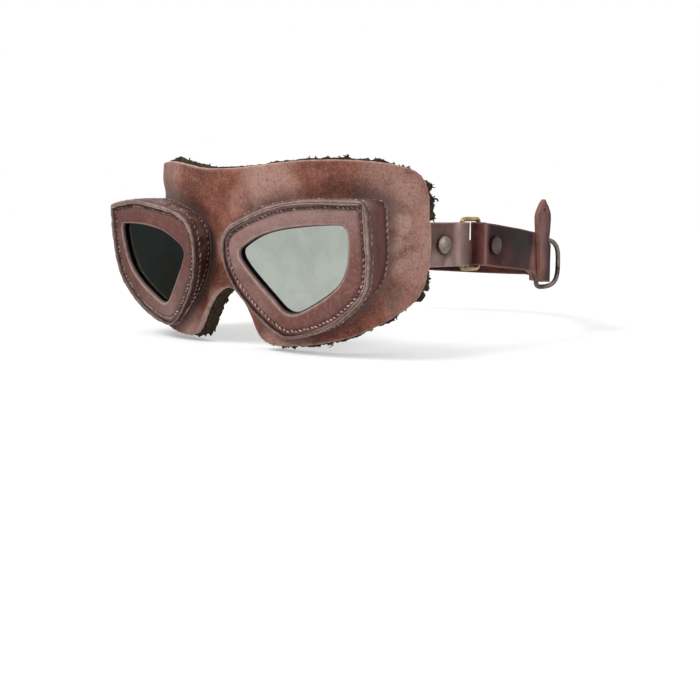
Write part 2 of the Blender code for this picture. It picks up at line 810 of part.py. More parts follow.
def add_cup(cup, side, face):
    """Wall, bezel, lens and gasket of one cup. Gives the outline of the eye hole behind it."""
    name = "left_" if side > 0 else "right_"
    frame = cup.matrix_world
    lip = sided(smooth_loop(
        scaled_outline(CUP_OUTLINE_SHARES, CUP_HALF_WIDTH, CUP_HALF_HEIGHT), CUP_EDGE_STEP), side)
    opening = sided(smooth_loop(
        scaled_outline(
            OPENING_OUTLINE_SHARES, OPENING_HALF_WIDTH, OPENING_HALF_HEIGHT,
            (OPENING_MIDDLE_X, OPENING_MIDDLE_Y)), CUP_EDGE_STEP), side)
    wall = cup_wall_mesh(lip, frame)
    wall.transform(frame)
    add_part(name + "cup_wall", wall, cup_leather, cup)
    rim = grown_loop(lip, -CUP_WALL_THICKNESS - SEAT_GAP)
    add_flat(name + "bezel", [rim, opening], BEZEL_THICKNESS, 0.0, bezel_leather, cup)
    lens_top = -BEZEL_THICKNESS - SEAT_GAP
    pane = grown_loop(opening, LENS_OVERLAP)
    add_flat(name + "lens", [pane], LENS_THICKNESS, lens_top, glass, cup)
    add_flat(
        name + "lens_gasket", [pane, grown_loop(opening, GASKET_REVEAL)], GASKET_THICKNESS,
        lens_top - LENS_THICKNESS - SEAT_GAP, gasket_felt, cup)
    return eye_hole(lip, frame, face)


def add_flat(name, loops, thickness, top, material, cup):
    """Flat piece in a cup, with its front face at a height in the cup's frame."""
    mesh = flat_sheet(loops, thickness)
    mesh.transform(cup.matrix_world @ Matrix.Translation((0.0, 0.0, top - thickness / 2)))
    return add_part(name, mesh, material, cup)


def add_tab(name, side, face, layout, lining):
    """Folded tab at one end of the mask, its rivet, and its pocket in the lining."""
    path = tab_path(face, layout)
    if side < 0:
        path = Path(mirrored_points(path.points))
    mesh = wrapped_sheet([straight_pattern(path.length)], STRAP_THICKNESS, path, level(STRAP_HEIGHT))
    tab = add_part(name + "_strap_tab", mesh, strap_leather, loop_middle)
    rivet_at = layout["middle"] + MASK_HALF_LENGTH + TAB_RIVET_FROM_MASK
    outer = layout["depth"] + layer_offset() + STRAP_THICKNESS / 2
    place = face.place(rivet_at, outer)
    outward = face.outward(rivet_at)
    if side < 0:
        place, outward = mirrored_points([place, outward])
    add_rivet(name + "_tab_rivet", place, outward, STRAP_HEIGHT, RIVET_DOME, loop_middle, tab)
    add_pocket(name, side, face, layout, lining)


def add_pocket(name, side, face, layout, lining):
    """Space for the tab between the mask and the lining."""
    deep = 2 * STRAP_THICKNESS + LAYER_GAP + SEAT_GAP
    top = -MASK_THICKNESS - SEAT_GAP / 2
    half = STRAP_WIDTH / 2 + SEAT_GAP
    start, end = tab_start() - CUT_OVERRUN, MASK_HALF_LENGTH + FLEECE_OVERHANG + CUT_OVERRUN
    loop = [(start, half), (end, half), (end, -half), (start, -half)]
    if side < 0:
        loop = [(-x, y) for x, y in reversed(loop)]
    mesh = wrapped_sheet(
        [loop], deep + CUT_OVERRUN, face, level(STRAP_HEIGHT), layout["middle"],
        top - deep / 2 + CUT_OVERRUN / 2)
    cut_away(lining, make_cutter(name + "_tab_pocket", mesh))


def add_straps(layout):
    """Rings and straps of both sides, and the back ring, each carried on its own bar."""
    front_bar, rear_bar = layout["front_bar"], layout["rear_bar"]
    run = strap_run(layout, rear_bar.y, BACK_RING_Y, False)
    across = strap_run(layout, rear_bar.y, TAIL_JOIN_Y, True)
    back_bar = run.points[-1]
    paths = {"left": left_strap_path(run, layout), "right": right_strap_path(run, across, layout)}
    for side, name in ((1, "left"), (-1, "right")):
        turn = Matrix.Scale(side, 4, (1.0, 0.0, 0.0))
        front, rear = (turn @ p.to_3d() for p in (front_bar, rear_bar))
        ring_axis = make_empty(name + "_ring_axis", Matrix.Translation(front))
        strap_axis = make_empty(name + "_strap_axis", Matrix.Translation(rear))
        direction = (rear - front).xy.normalized()
        ring = standing_wire(
            name + "_square_ring", square_ring_line(), RING_WIRE_RADIUS, front.xy, direction,
            STRAP_HEIGHT)
        add_part(name + "_square_ring", ring, brass, ring_axis)
        path = paths[name]
        near, far = (BACK_DROP_NEAR, BACK_DROP_FAR) if side > 0 else (TAIL_DROP_NEAR, TAIL_DROP_FAR)
        height = strap_height(rear_bar, back_bar, near, far)
        pattern = [straight_pattern(path.length)] if side > 0 else tail_pattern(path.length)
        mesh = wrapped_sheet(pattern, STRAP_THICKNESS, path, height)
        strap = add_part(name + "_rear_strap", mesh, strap_leather, strap_axis)
        place = run.place(STRAP_RIVET_FROM_RING, layer_offset() + STRAP_THICKNESS / 2)
        outward = run.outward(STRAP_RIVET_FROM_RING)
        if side < 0:
            place, outward = mirrored_points([place, outward])
        add_rivet(
            name + "_strap_rivet", place, outward, height(place), FLAT_RIVET_DOME, strap_axis, strap)
    add_back_ring(run, strap_height(rear_bar, back_bar, TAIL_DROP_NEAR, TAIL_DROP_FAR))


def tail_pattern(length):
    """Outline of the right strap with its punched holes."""
    tail_middle = length - STRAP_WIDTH / 2
    holes = [circle_loop(
        Vector((tail_middle, TAIL_RISE - HOLE_FROM_TIP)), HOLE_RADIUS, HOLE_STEPS)]
    for i in range(HOLE_COUNT):
        place = Vector((length - STRAP_WIDTH - HOLES_START - HOLE_PITCH * i, 0.0))
        holes.append(circle_loop(place, HOLE_RADIUS, HOLE_STEPS))
    return [leaf_outline(length)] + holes


def add_back_ring(run, height):
    """Back ring standing off the straps, its bar in the rear fold of the left strap."""
    bar = run.points[-1]
    outward = run.outward(run.length)
    ahead = Vector((-outward.y, outward.x))
    direction = ahead * math.cos(BACK_RING_TILT) + outward * math.sin(BACK_RING_TILT)
    axis = make_empty("back_ring_axis", Matrix.Translation(bar.to_3d()))
    middle = height(bar + direction * BACK_RING_DEPTH * BACK_RING_CROSSING_SHARE)
    ring = standing_wire(
        "back_ring", back_ring_line(), BACK_RING_WIRE_RADIUS, bar, direction, middle)
    add_part("back_ring", ring, bronze, axis)


def build():
    face = face_path()
    layout = tab_layout(face)
    lining = add_front(face)
    for side, name in ((1, "left"), (-1, "right")):
        add_tab(name, side, face, layout, lining)
    add_straps(layout)
    bpy.context.view_layer.update()


for thing in list(bpy.data.objects):
    bpy.data.objects.remove(thing)

parts = new_collection("pilot_goggles")
cutters = new_collection("cutters")
loop_middle = make_empty("loop_middle", Matrix.Identity(4))

mask_leather = make_material("mask_leather", (0.30, 0.085, 0.055), 0.50)
cup_leather = make_material("cup_leather", (0.17, 0.055, 0.040), 0.48)
bezel_leather = make_material("bezel_leather", (0.26, 0.11, 0.08), 0.50)
strap_leather = make_material("strap_leather", (0.13, 0.040, 0.032), 0.42)
fleece = make_material("fleece", (0.030, 0.022, 0.017), 0.95)
glass = make_material("glass", (0.30, 0.34, 0.32), 0.05, 0.0, 0.55)
gasket_felt = make_material("gasket_felt", (0.015, 0.014, 0.013), 0.90)
rivet_metal = make_material("rivet_metal", (0.33, 0.28, 0.23), 0.38, 1.0)
brass = make_material("brass", (0.38, 0.27, 0.13), 0.34, 1.0)
bronze = make_material("bronze", (0.12, 0.095, 0.08), 0.42, 1.0)

build()
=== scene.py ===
"""Looks of the pilot goggles: leather, thread, fleece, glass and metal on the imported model.

Metres, +Z up. The wearer looks along -Y and the wearer's left is +X.
"""
from contextlib import contextmanager
import json
import math
import random

import bmesh
import bpy
from mathutils import Matrix, Vector, noise
from mathutils.bvhtree import BVHTree
from mathutils.kdtree import KDTree


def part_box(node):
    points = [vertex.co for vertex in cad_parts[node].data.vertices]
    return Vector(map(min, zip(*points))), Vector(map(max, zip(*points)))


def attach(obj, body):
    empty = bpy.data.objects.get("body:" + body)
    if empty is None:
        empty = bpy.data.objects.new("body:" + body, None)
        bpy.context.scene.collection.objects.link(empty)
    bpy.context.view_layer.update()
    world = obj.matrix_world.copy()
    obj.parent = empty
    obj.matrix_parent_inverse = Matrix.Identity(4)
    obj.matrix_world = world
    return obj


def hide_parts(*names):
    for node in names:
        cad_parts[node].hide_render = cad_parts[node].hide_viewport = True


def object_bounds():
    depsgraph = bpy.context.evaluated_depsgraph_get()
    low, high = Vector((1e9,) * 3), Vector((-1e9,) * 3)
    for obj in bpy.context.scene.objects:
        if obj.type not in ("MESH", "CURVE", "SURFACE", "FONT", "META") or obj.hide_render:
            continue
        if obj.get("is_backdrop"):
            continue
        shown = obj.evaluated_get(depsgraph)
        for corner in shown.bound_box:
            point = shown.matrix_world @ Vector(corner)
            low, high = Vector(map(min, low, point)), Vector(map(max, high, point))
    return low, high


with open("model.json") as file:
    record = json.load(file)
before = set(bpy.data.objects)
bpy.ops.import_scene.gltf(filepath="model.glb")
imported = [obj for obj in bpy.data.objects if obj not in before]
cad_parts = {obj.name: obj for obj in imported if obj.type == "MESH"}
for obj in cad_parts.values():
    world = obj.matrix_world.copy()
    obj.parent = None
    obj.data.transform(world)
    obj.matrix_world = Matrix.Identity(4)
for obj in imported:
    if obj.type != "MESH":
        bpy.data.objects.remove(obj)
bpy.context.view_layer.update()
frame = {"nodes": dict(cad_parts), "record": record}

MM = 0.001
WELD = 0.002 * MM

# Wandering of patches and frays, the same in each run
noise.seed_set(3)

# Camera, solved from the photograph
CAMERA_AZIMUTH = math.radians(42.02)
CAMERA_RISE = math.radians(7.71)
CAMERA_DISTANCE = 494.0 * MM
CAMERA_SIDE = 5.93 * MM
CAMERA_DROP = 50.88 * MM
CAMERA_LENS = 51.43
CAMERA_SENSOR = 36.0

# Outer face of the mask in plan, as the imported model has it
FACE_HALF_WIDTH = 82.0 * MM
FACE_REACH = 88.0 * MM
FACE_SQUARENESS = 3.05
MASK_THICKNESS = 2.8 * MM

# Cups: where the middle of each is below its face mount, and how its wall narrows
CUP_MOUNT_RISE = 21.0 * MM
CUP_NARROWING_X = 0.20 / (25.0 * MM)
CUP_NARROWING_Y = 0.11 / (25.0 * MM)
CUP_LIP_PROUD = 0.8 * MM
CUP_HALF_WIDTH = 36.6 * MM
LOOP_COUNT = 240

# Studio: levels of floor and surroundings as the goggles see them
FLOOR_GLOW = 0.34
WORLD_LEVEL = 0.34
# Soft lamps: place, what they point at, width and height, power
LAMPS = {
    "key": ((-0.30, -0.62, 0.72), (0.0, -0.05, 0.0), (0.45, 0.45), 5.6),
    "side": ((0.80, -0.30, 0.36), (0.04, -0.02, 0.0), (0.5, 0.4), 2.4),
    "top": ((0.05, 0.30, 0.90), (0.0, 0.0, 0.0), (0.7, 0.5), 2.2),
}
# Middle of the dark card that the right lens mirrors, the way it faces and its size
CARD_MIDDLE = (-0.095, -0.119, -0.024)
CARD_FACING = (0.84, 0.45, 0.30)
CARD_SIZE = (0.130, 0.090)


# Hand tools

def only(*pieces):
    """Select these pieces and nothing else, with the first one active."""
    bpy.ops.object.select_all(action="DESELECT")
    for piece in pieces:
        piece.select_set(True)
    bpy.context.view_layer.objects.active = pieces[0]


@contextmanager
def editing(piece):
    """Edit mode with all of a piece selected, and back."""
    only(piece)
    bpy.ops.object.mode_set(mode="EDIT")
    bpy.ops.mesh.select_all(action="SELECT")
    yield
    bpy.ops.object.mode_set(mode="OBJECT")


def finish_with(piece, kind, **settings):
    """Add a modifier with these settings and apply it."""
    only(piece)
    modifier = piece.modifiers.new(kind.lower(), kind)
    for key, value in settings.items():
        setattr(modifier, key, value)
    bpy.ops.object.modifier_apply(modifier=modifier.name)


def smooth(piece, angle=50.0):
    only(piece)
    bpy.ops.object.shade_smooth_by_angle(angle=math.radians(angle))


def named(piece, name):
    piece.name = name
    piece.data.name = name
    return piece


def added(make, name, **settings):
    """A simple shape from one of Blender's own makers, under a name."""
    bpy.ops.object.select_all(action="DESELECT")
    make(**settings)
    return named(bpy.context.object, name)


def linked(name, data):
    """New object of the scene with this data."""
    piece = bpy.data.objects.new(name, data)
    bpy.context.scene.collection.objects.link(piece)
    return piece


def sewn_closed(piece, threshold=WELD):
    """Merge what meets and turn all faces outwards."""
    with editing(piece):
        bpy.ops.mesh.remove_doubles(threshold=threshold)
        bpy.ops.mesh.normals_make_consistent(inside=False)


def cad_copy(node, name, whole=True):
    """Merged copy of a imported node, with its flat faces whole again or in quads."""
    piece = linked(name, frame["nodes"][node].data.copy())
    with editing(piece):
        bpy.ops.mesh.remove_doubles(threshold=WELD)
        if whole:
            bpy.ops.mesh.dissolve_limited(angle_limit=math.radians(0.4))
        else:
            bpy.ops.mesh.tris_convert_to_quads()
    for old in [a.name for a in piece.data.attributes if a.name == "custom_normal"]:
        piece.data.attributes.remove(piece.data.attributes[old])
    return named(piece, name)


def skin(name, rings, joined=False, **marks):
    """Leather laid over rings of places: a plain grid, shaped row by row and sewn at its seam.

    marks gives named values, one for each ring, that the materials read.
    """
    rows = list(range(len(rings))) + ([0] if joined else [])
    count = len(rings[0])
    piece = added(
        bpy.ops.mesh.primitive_grid_add, name, x_subdivisions=count, y_subdivisions=len(rows) - 1, size=1.0)
    for line, row in enumerate(rows):
        for column in range(count + 1):
            piece.data.vertices[line * (count + 1) + column].co = rings[row][column % count]
    for mark, values in marks.items():
        write_marks(piece, **{mark: [values[row] for row in rows for _ in range(count + 1)]})
    sewn_closed(piece)
    return piece


def write_marks(piece, **marks):
    """Give a piece named values, one for each of its places, that the materials read."""
    for name, values in marks.items():
        piece.data.attributes.new(name, "FLOAT", "POINT").data.foreach_set("value", values)


def move(piece, places):
    """Put each corner of a piece at its new place."""
    for v, place in zip(piece.data.vertices, places):
        v.co = place


def turned(name, profile, sides=48):
    """Round piece: a disc, extruded and resized from one profile place to the next."""
    radius, height = profile[0]
    piece = added(bpy.ops.mesh.primitive_circle_add, name, vertices=sides, radius=radius, fill_type="NGON")
    with editing(piece):
        bpy.ops.transform.translate(value=(0.0, 0.0, height))
        for (radius, height), (wider, higher) in zip(profile, profile[1:]):
            bpy.ops.mesh.extrude_region_move(TRANSFORM_OT_translate={"value": (0.0, 0.0, higher - height)})
            bpy.ops.transform.resize(value=(wider / radius, wider / radius, 1.0))
    sewn_closed(piece, 0.5 * WELD)
    return piece


def upright(facing):
    """Turn that brings +Z round to a direction."""
    return facing.to_track_quat("Z", "Y").to_matrix().to_4x4()


def uneven(p, *waves):
    """Height of waves of noise at a place, each given by how fine it is and how high in millimetres."""
    return sum(noise.noise(p * fine) * high * MM for fine, high in waves)


def ease(value):
    """0 up to 0, 1 from 1 on, and a soft step between."""
    share = min(1.0, max(0.0, value))
    return share * share * (3 - 2 * share)


def bell(distance, reach):
    """1 at a distance of 0, falling away softly past the reach."""
    return math.exp(-(distance / reach) ** 2)


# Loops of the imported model

def loop_length(loop):
    return sum((b - a).length for a, b in zip(loop, loop[1:] + loop[:1]))


def tree_of(points):
    """Search tree of places."""
    tree = KDTree(len(points))
    for i, p in enumerate(points):
        tree.insert(p, i)
    tree.balance()
    return tree


def cad_shape(node):
    """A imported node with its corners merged, to read from."""
    shape = bmesh.new()
    shape.from_mesh(frame["nodes"][node].data)
    bmesh.ops.remove_doubles(shape, verts=shape.verts, dist=WELD)
    shape.normal_update()
    return shape


def cut_lines(node):
    """Tree of points along a node's sharp edges, for how near a place is to one."""
    shape = cad_shape(node)
    points = []
    for e in shape.edges:
        if e.calc_face_angle(0.0) > math.radians(50):
            a, b = (v.co for v in e.verts)
            count = 1 + int((b - a).length / (0.4 * MM))
            points += [a.lerp(b, k / count) for k in range(count + 1)]
    shape.free()
    return tree_of(points)


def rim_loops(node, facing, level):
    """Loops round a node's flat faces that face one way at one level, the longest first."""
    shape = cad_shape(node)
    flat = {
        f for f in shape.faces
        if f.normal.dot(facing) > 0.999 and abs(f.verts[0].co.dot(facing) - level) < 0.1 * MM}
    border = {e for e in shape.edges if sum(f in flat for f in e.link_faces) == 1}
    loops = []
    while border:
        edge = min(border, key=lambda e: e.index)
        border.discard(edge)
        start, at = edge.verts
        loop = [start.co.copy()]
        while at is not start:
            loop.append(at.co.copy())
            edge = next(e for e in at.link_edges if e in border)
            border.discard(edge)
            at = edge.other_vert(at)
        loops.append(loop)
    shape.free()
    return sorted(loops, key=loop_length, reverse=True)


def even_loop(loop, count):
    """Closed smooth curve through a loop's points, at evenly spaced places."""
    fine = 8
    dense = []
    size = len(loop)
    for i in range(size):
        a, b, c, d = (loop[(i + k - 1) % size] for k in range(4))
        for j in range(fine):
            t = j / fine
            dense.append((b * 2 + (c - a) * t + (a * 2 - b * 5 + c * 4 - d) * t * t
                          + (b * 3 - a - c * 3 + d) * t ** 3) / 2)
    total = loop_length(dense)
    places, run, i = [], 0.0, 0
    for k in range(count):
        goal = total * k / count
        while True:
            a, b = dense[i % len(dense)], dense[(i + 1) % len(dense)]
            length = (b - a).length
            if run + length >= goal:
                break
            run += length
            i += 1
        places.append(a.lerp(b, (goal - run) / max(length, WELD)))
    return places


def clockwise(loop):
    """The loop, turned round where it runs the other way."""
    area = sum(a.x * b.y - b.x * a.y for a, b in zip(loop, loop[1:] + loop[:1]))
    return loop if area < 0 else loop[::-1]


def cup_frame(side):
    """Frame of a cup from its face mount: local +Z is the way the lens faces, +Y is up."""
    name = ("left" if side > 0 else "right") + "_bezel_face"
    mount = next(m for m in frame["record"]["mounts"] if m["name"] == name)
    out = Vector(mount["axis"]).normalized()
    up = (Vector((0, 0, 1)) - out * out.z).normalized()
    across = up.cross(out)
    middle = Vector(mount["pos_m"]) - up * CUP_MOUNT_RISE
    turned_frame = Matrix((across, up, out)).transposed().to_4x4()
    return Matrix.Translation(middle) @ turned_frame


def local_loops(node, cup, level):
    """A node's flat loops at a height in the cup's frame, in that frame, clockwise and even."""
    facing = cup.col[2].to_3d()
    plane = cup.translation.dot(facing) + level
    back = cup.inverted()
    loops = [[back @ p for p in loop] for loop in rim_loops(node, facing, plane)]
    return [clockwise(even_loop(loop, LOOP_COUNT)) for loop in loops]


def matched(loop, guide):
    """Places on a loop in the same directions from its middle as the guide's places."""
    middle = sum(loop, Vector()) / len(loop)
    turn = 2 * math.pi
    marks = sorted((math.atan2(p.y - middle.y, p.x - middle.x), p) for p in loop)
    marks = [(marks[-1][0] - turn, marks[-1][1])] + marks + [(marks[0][0] + turn, marks[0][1])]
    found = []
    for p in guide:
        angle = math.atan2(p.y - middle.y, p.x - middle.x)
        i = next(k for k in range(len(marks) - 1) if marks[k + 1][0] >= angle)
        (a, low), (b, high) = marks[i], marks[i + 1]
        found.append(low.lerp(high, (angle - a) / max(b - a, 1e-9)))
    return found


def inward(loop, distances):
    """Clockwise loop moved inwards in its own plane, by one distance for each place."""
    count = len(loop)
    tree = tree_of(loop)
    moved = []
    for i, p in enumerate(loop):
        run = (loop[(i + 1) % count] - loop[i - 1]).normalized()
        moved.append(p + Vector((run.y, -run.x, 0.0)) * distances[i])
    good = [i for i, p in enumerate(moved) if tree.find(p)[2] > 0.97 * abs(distances[i])]
    for before, after in zip(good, good[1:] + [good[0] + count]):
        for i in range(before + 1, after):
            share = (i - before) / (after - before)
            moved[i % count] = moved[before].lerp(moved[after % count], share)
    return moved


mask_shape = cad_shape("face_mask")
mask_tree = BVHTree.FromBMesh(mask_shape)
mask_shape.free()


def foot_place(cup, p):
    """Where the wall line of a lip place meets the face of the mask, in the cup's frame."""
    line = Vector((-p.x * CUP_NARROWING_X, -p.y * CUP_NARROWING_Y, -1.0))
    start = cup @ Vector((p.x, p.y, 0.0))
    hit = mask_tree.ray_cast(start, (cup.to_3x3() @ line).normalized())[0]
    return cup.inverted() @ hit


# How far the worn mask's right upper end has crept
CREEP = Vector((0.9 * MM, 0.0, 2.6 * MM))


def settled(p):
    """Where a place has crept to with the mask's right upper end, as all that is sewn to it does."""
    share = ease((p.z - 6 * MM) / (30 * MM)) * ease((-p.x - 10 * MM) / (36 * MM))
    return p + CREEP * share


# Materials

class Graph:
    """Nodes of a finish or of the surroundings, with short calls for those that are used."""

    def __init__(self, tree):
        self.tree = tree

    def add(self, kind, inputs=None, **settings):
        node = self.tree.nodes.new(kind)
        for key, value in settings.items():
            setattr(node, key, value)
        self.feed(node, inputs or {})
        return node

    def feed(self, node, inputs):
        """Give a node's inputs numbers, colours or what comes out of other nodes."""
        for key, value in inputs.items():
            if isinstance(value, tuple):
                node.inputs[key].default_value = (*value, 1.0)
            elif isinstance(value, (int, float)):
                node.inputs[key].default_value = value
            else:
                self.tree.links.new(value, node.inputs[key])

    def spread(self, source, low, high, start=0.0, end=1.0):
        """Map a value from low..high to start..end, held at both."""
        inputs = {"Value": source, "From Min": low, "From Max": high, "To Min": start, "To Max": end}
        return self.add("ShaderNodeMapRange", inputs).outputs["Result"]

    def maths(self, operation, first, second):
        return self.add("ShaderNodeMath", {0: first, 1: second}, operation=operation).outputs["Value"]

    def seen_directly(self):
        """1 for rays from the camera, off metal and through glass."""
        rays = self.add("ShaderNodeLightPath").outputs
        seen = self.maths("MAXIMUM", rays["Is Camera Ray"], rays["Is Glossy Ray"])
        return self.maths("MAXIMUM", seen, rays["Is Transmission Ray"])


class Finish(Graph):
    """Graph of one material."""

    def __init__(self, name):
        self.material = bpy.data.materials.new(name)
        self.material.use_nodes = True
        super().__init__(self.material.node_tree)
        self.place = self.add("ShaderNodeTexCoord").outputs["Object"]

    def noise(self, scale, detail=4.0, roughness=0.55, distortion=0.0):
        inputs = {
            "Vector": self.place, "Scale": scale, "Detail": detail, "Roughness": roughness, "Distortion": distortion}
        return self.add("ShaderNodeTexNoise", inputs).outputs["Fac"]

    def cells(self, scale):
        return self.add("ShaderNodeTexVoronoi", {"Vector": self.place, "Scale": scale}).outputs["Distance"]

    def mark(self, name):
        """Value that write_marks has given the piece, or 0."""
        return self.add("ShaderNodeAttribute", attribute_name=name).outputs["Fac"]

    def blend(self, share, first, second):
        return self.add("ShaderNodeMix", {0: share, 6: first, 7: second}, data_type="RGBA").outputs[2]

    def done(self, inputs, heights=()):
        """Feed the surface, with bumps from (height, depth in metres) pairs one on top of the other."""
        normal = {}
        for height, depth in heights:
            bump = self.add("ShaderNodeBump", {"Strength": 1.0, "Distance": depth, "Height": height, **normal})
            normal = {"Normal": bump.outputs["Normal"]}
        self.feed(self.tree.nodes["Principled BSDF"], {**inputs, **normal})
        return self.material


def srgb(code):
    """Linear colour of a six-digit colour code."""
    parts = [int(code[i:i + 2], 16) / 255 for i in (0, 2, 4)]
    return tuple(c / 12.92 if c <= 0.04045 else ((c + 0.055) / 1.055) ** 2.4 for c in parts)


# Near-black painted shade for gaps, cracks and recesses
GAP_SHADE_COLOUR = srgb("17100e")


def leather(name, colours, roughness=0.5, gloss=0.3, grit=1.0, grain=0.07 * MM, blotch=26.0):
    """Worn leather: blotches, mottling and specks, and places marked warm, pale (lightened by wear and by painted
    highlights), burnished and in painted shade, cut, or lying in gaps painted near-black as shade.

    colours are the dark, middle, light, warm, pale, cut edge and burnished ones; the burnished colour also stands
    for painted shade.
    """
    dark, middle, light, warm, pale, edge, burnish = (srgb(code) for code in colours.split())
    finish = Finish(name)
    patches = finish.noise(blotch, 5.0, 0.62, 0.5)
    mottle = finish.noise(blotch * 5, 6.0, 0.68, 0.3)
    fleck = finish.noise(blotch * 16, 4.0, 0.65, 0.4)
    speck = finish.noise(blotch * 52, 2.0, 0.6)
    pale_mark = finish.mark("pale")
    colour = finish.blend(finish.spread(patches, 0.38, 0.62), middle, light)
    colour = finish.blend(finish.maths("MULTIPLY", finish.mark("warm"), finish.spread(fleck, 0.3, 0.6, 1.0, 0.7)),
                          colour, warm)
    darkened = finish.maths("MULTIPLY", finish.spread(mottle, 0.34, 0.60, 0.75, 0.0),
                            finish.spread(pale_mark, 0.0, 1.0, 1.0, 0.25))
    colour = finish.blend(darkened, colour, dark)
    colour = finish.blend(finish.maths("MULTIPLY", pale_mark, finish.spread(mottle, 0.3, 0.65, 0.8, 1.0)),
                          colour, pale)
    glint = finish.blend(finish.maths("ADD", pale_mark, 0.25), light, pale)
    for pattern, low, high, start, end, tone in (
            (fleck, 0.52, 0.70, 0.0, 0.40, glint), (fleck, 0.30, 0.47, 0.42, 0.0, dark),
            (speck, 0.52, 0.68, 0.0, 0.48, glint), (speck, 0.34, 0.48, 0.40, 0.0, dark)):
        colour = finish.blend(finish.spread(pattern, low, high, start * grit, end * grit), colour, tone)
    # Darkening by mark: partly real burnishing and dirt, partly painted shade in recesses, under overhangs and along
    # joins
    mottled_amount = finish.maths("MULTIPLY", finish.mark("burnish"), finish.spread(mottle, 0.30, 0.62, 1.0, 0.7))
    colour = finish.blend(mottled_amount, colour, burnish)
    fray = finish.maths("MULTIPLY", finish.mark("edge"), finish.spread(fleck, 0.34, 0.56, 0.5, 1.0))
    colour = finish.blend(fray, colour, edge)
    # Painted shade: near-black where the piece is marked as lying in gaps or recesses
    colour = finish.blend(finish.mark("gap"), colour, GAP_SHADE_COLOUR)
    rough = finish.spread(patches, 0.3, 0.7, roughness - 0.06, roughness + 0.08)
    rough = finish.maths("ADD", rough, finish.maths("MULTIPLY", fray, 0.25))
    pores = finish.spread(finish.cells(1500.0), 0.1, 0.7)
    creases = finish.noise(420.0, 7.0, 0.72, 0.7)
    return finish.done(
        {"Base Color": colour, "Roughness": rough, "Specular IOR Level": gloss},
        [(mottle, grain * 3.0), (creases, grain * 3.2), (pores, grain)])


def thread_finish(name, dark, light):
    """Waxed thread, each stitch with its own shade."""
    finish = Finish(name)
    tint = finish.noise(520.0, 3.0)
    twist = finish.noise(2600.0, 2.0, 0.5)
    shade = finish.maths("ADD", finish.mark("shade"), finish.spread(tint, 0.35, 0.65, -0.25, 0.25))
    colour = finish.blend(finish.spread(shade, 0.0, 1.0), dark, light)
    return finish.done({"Base Color": colour, "Roughness": 0.65}, [(twist, 0.08 * MM)])


def fleece_finish():
    """Clipped pile: dark at its roots, olive brown at the tips of its locks; the lighter tips are partly the pile's
    own colour and partly a painted sheen.
    """
    finish = Finish("dark_fleece")
    curls = finish.noise(650.0, 4.0, 0.7, 1.2)
    clumps = finish.noise(90.0, 3.0, 0.6)
    root = finish.blend(finish.spread(curls, 0.35, 0.70), srgb("292118"), srgb("574a3a"))
    tip = finish.blend(finish.spread(clumps, 0.42, 0.62), srgb("76674c"), srgb("a59976"))
    colour = finish.blend(finish.mark("tip"), root, tip)
    return finish.done({"Base Color": colour, "Roughness": 0.95, "Specular IOR Level": 0.15}, [(curls, 0.3 * MM)])


def felt_finish():
    finish = Finish("gasket_felt")
    fuzz = finish.noise(1800.0, 4.0, 0.7)
    colour = finish.blend(fuzz, srgb("0c0b0a"), srgb("2a2522"))
    return finish.done({"Base Color": colour, "Roughness": 0.95}, [(fuzz, 0.1 * MM)])


def metal(name, dark, light, roughness):
    """Old metal: tarnished in patches, with near-black painted shade where it is marked as lying in gaps."""
    finish = Finish(name)
    tarnish = finish.noise(160.0, 6.0, 0.65, 0.5)
    fine = finish.noise(1920.0, 4.0, 0.6)
    colour = finish.blend(finish.spread(tarnish, 0.34, 0.62), dark, light)
    # Painted shade: near-black where the piece is marked as lying in gaps
    colour = finish.blend(finish.mark("gap"), colour, GAP_SHADE_COLOUR)
    rough = finish.spread(fine, 0.3, 0.7, roughness - 0.07, roughness + 0.12)
    return finish.done(
        {"Base Color": colour, "Metallic": 0.92, "Roughness": rough}, [(fine, 0.02 * MM), (tarnish, 0.10 * MM)])


def lens_finish():
    """Old coated lens: grey-green, half mirror, with faint smears."""
    finish = Finish("coated_lens")
    smear = finish.noise(70.0, 6.0, 0.65, 0.9)
    film = finish.noise(260.0, 4.0, 0.6, 0.5)
    tint = finish.blend(finish.spread(smear, 0.42, 0.72), srgb("a3a9a2"), srgb("989e96"))
    colour = finish.blend(finish.spread(film, 0.60, 0.74, 0.0, 0.3), tint, srgb("848b7e"))
    rough = finish.spread(smear, 0.4, 0.8, 0.03, 0.12)
    return finish.done({"Base Color": colour, "Metallic": 1.0, "Roughness": rough, "Alpha": 0.96})


mask_leather = leather("russet_mask_leather", "4f281e 7c4737 a56a57 783d2a ba9488 bfa198 4c4342", roughness=0.56)
wall_leather = leather("oxblood_wall_leather", "26130f 41221e 5a332d 6c3c34 8a6a61 a5877c 2a1a18", gloss=0.2)
bezel_leather = leather(
    "rose_bezel_leather", "6c4842 865d56 966f68 703a31 b39892 c2a59d 482f29", roughness=0.58, grit=0.8)
strap_leather = leather(
    "oxblood_strap_leather", "120a0c 1d1113 2f1b1c 6b372f a0706a 8f675c 150c0e", gloss=0.09, grit=0.12)
tab_leather = leather(
    "rose_tab_leather", "4c332f 5f443f 6d524c 74403a b59b93 ab9087 3d2a27", roughness=0.52, gloss=0.2, grit=0.25)
cut_edge = leather(
    "cut_edge_leather", "7b5c52 a58a80 c8b1a9 856a5f d6c3bc d6c3bc 4c352f", roughness=0.75, grain=0.14 * MM,
    blotch=60.0)
thread = thread_finish("waxed_thread", srgb("5a4038"), srgb("d0b3a6"))
pale_thread = thread_finish("pale_waxed_thread", srgb("4e342d"), srgb("bfa499"))
pile = fleece_finish()
felt = felt_finish()
pewter = metal("pewter", srgb("5c514b"), srgb("8f8076"), 0.44)
dark_pewter = metal("dark_pewter", srgb("34292a"), srgb("62504d"), 0.46)
antique_brass = metal("antique_brass", srgb("6a5838"), srgb("b59c72"), 0.36)
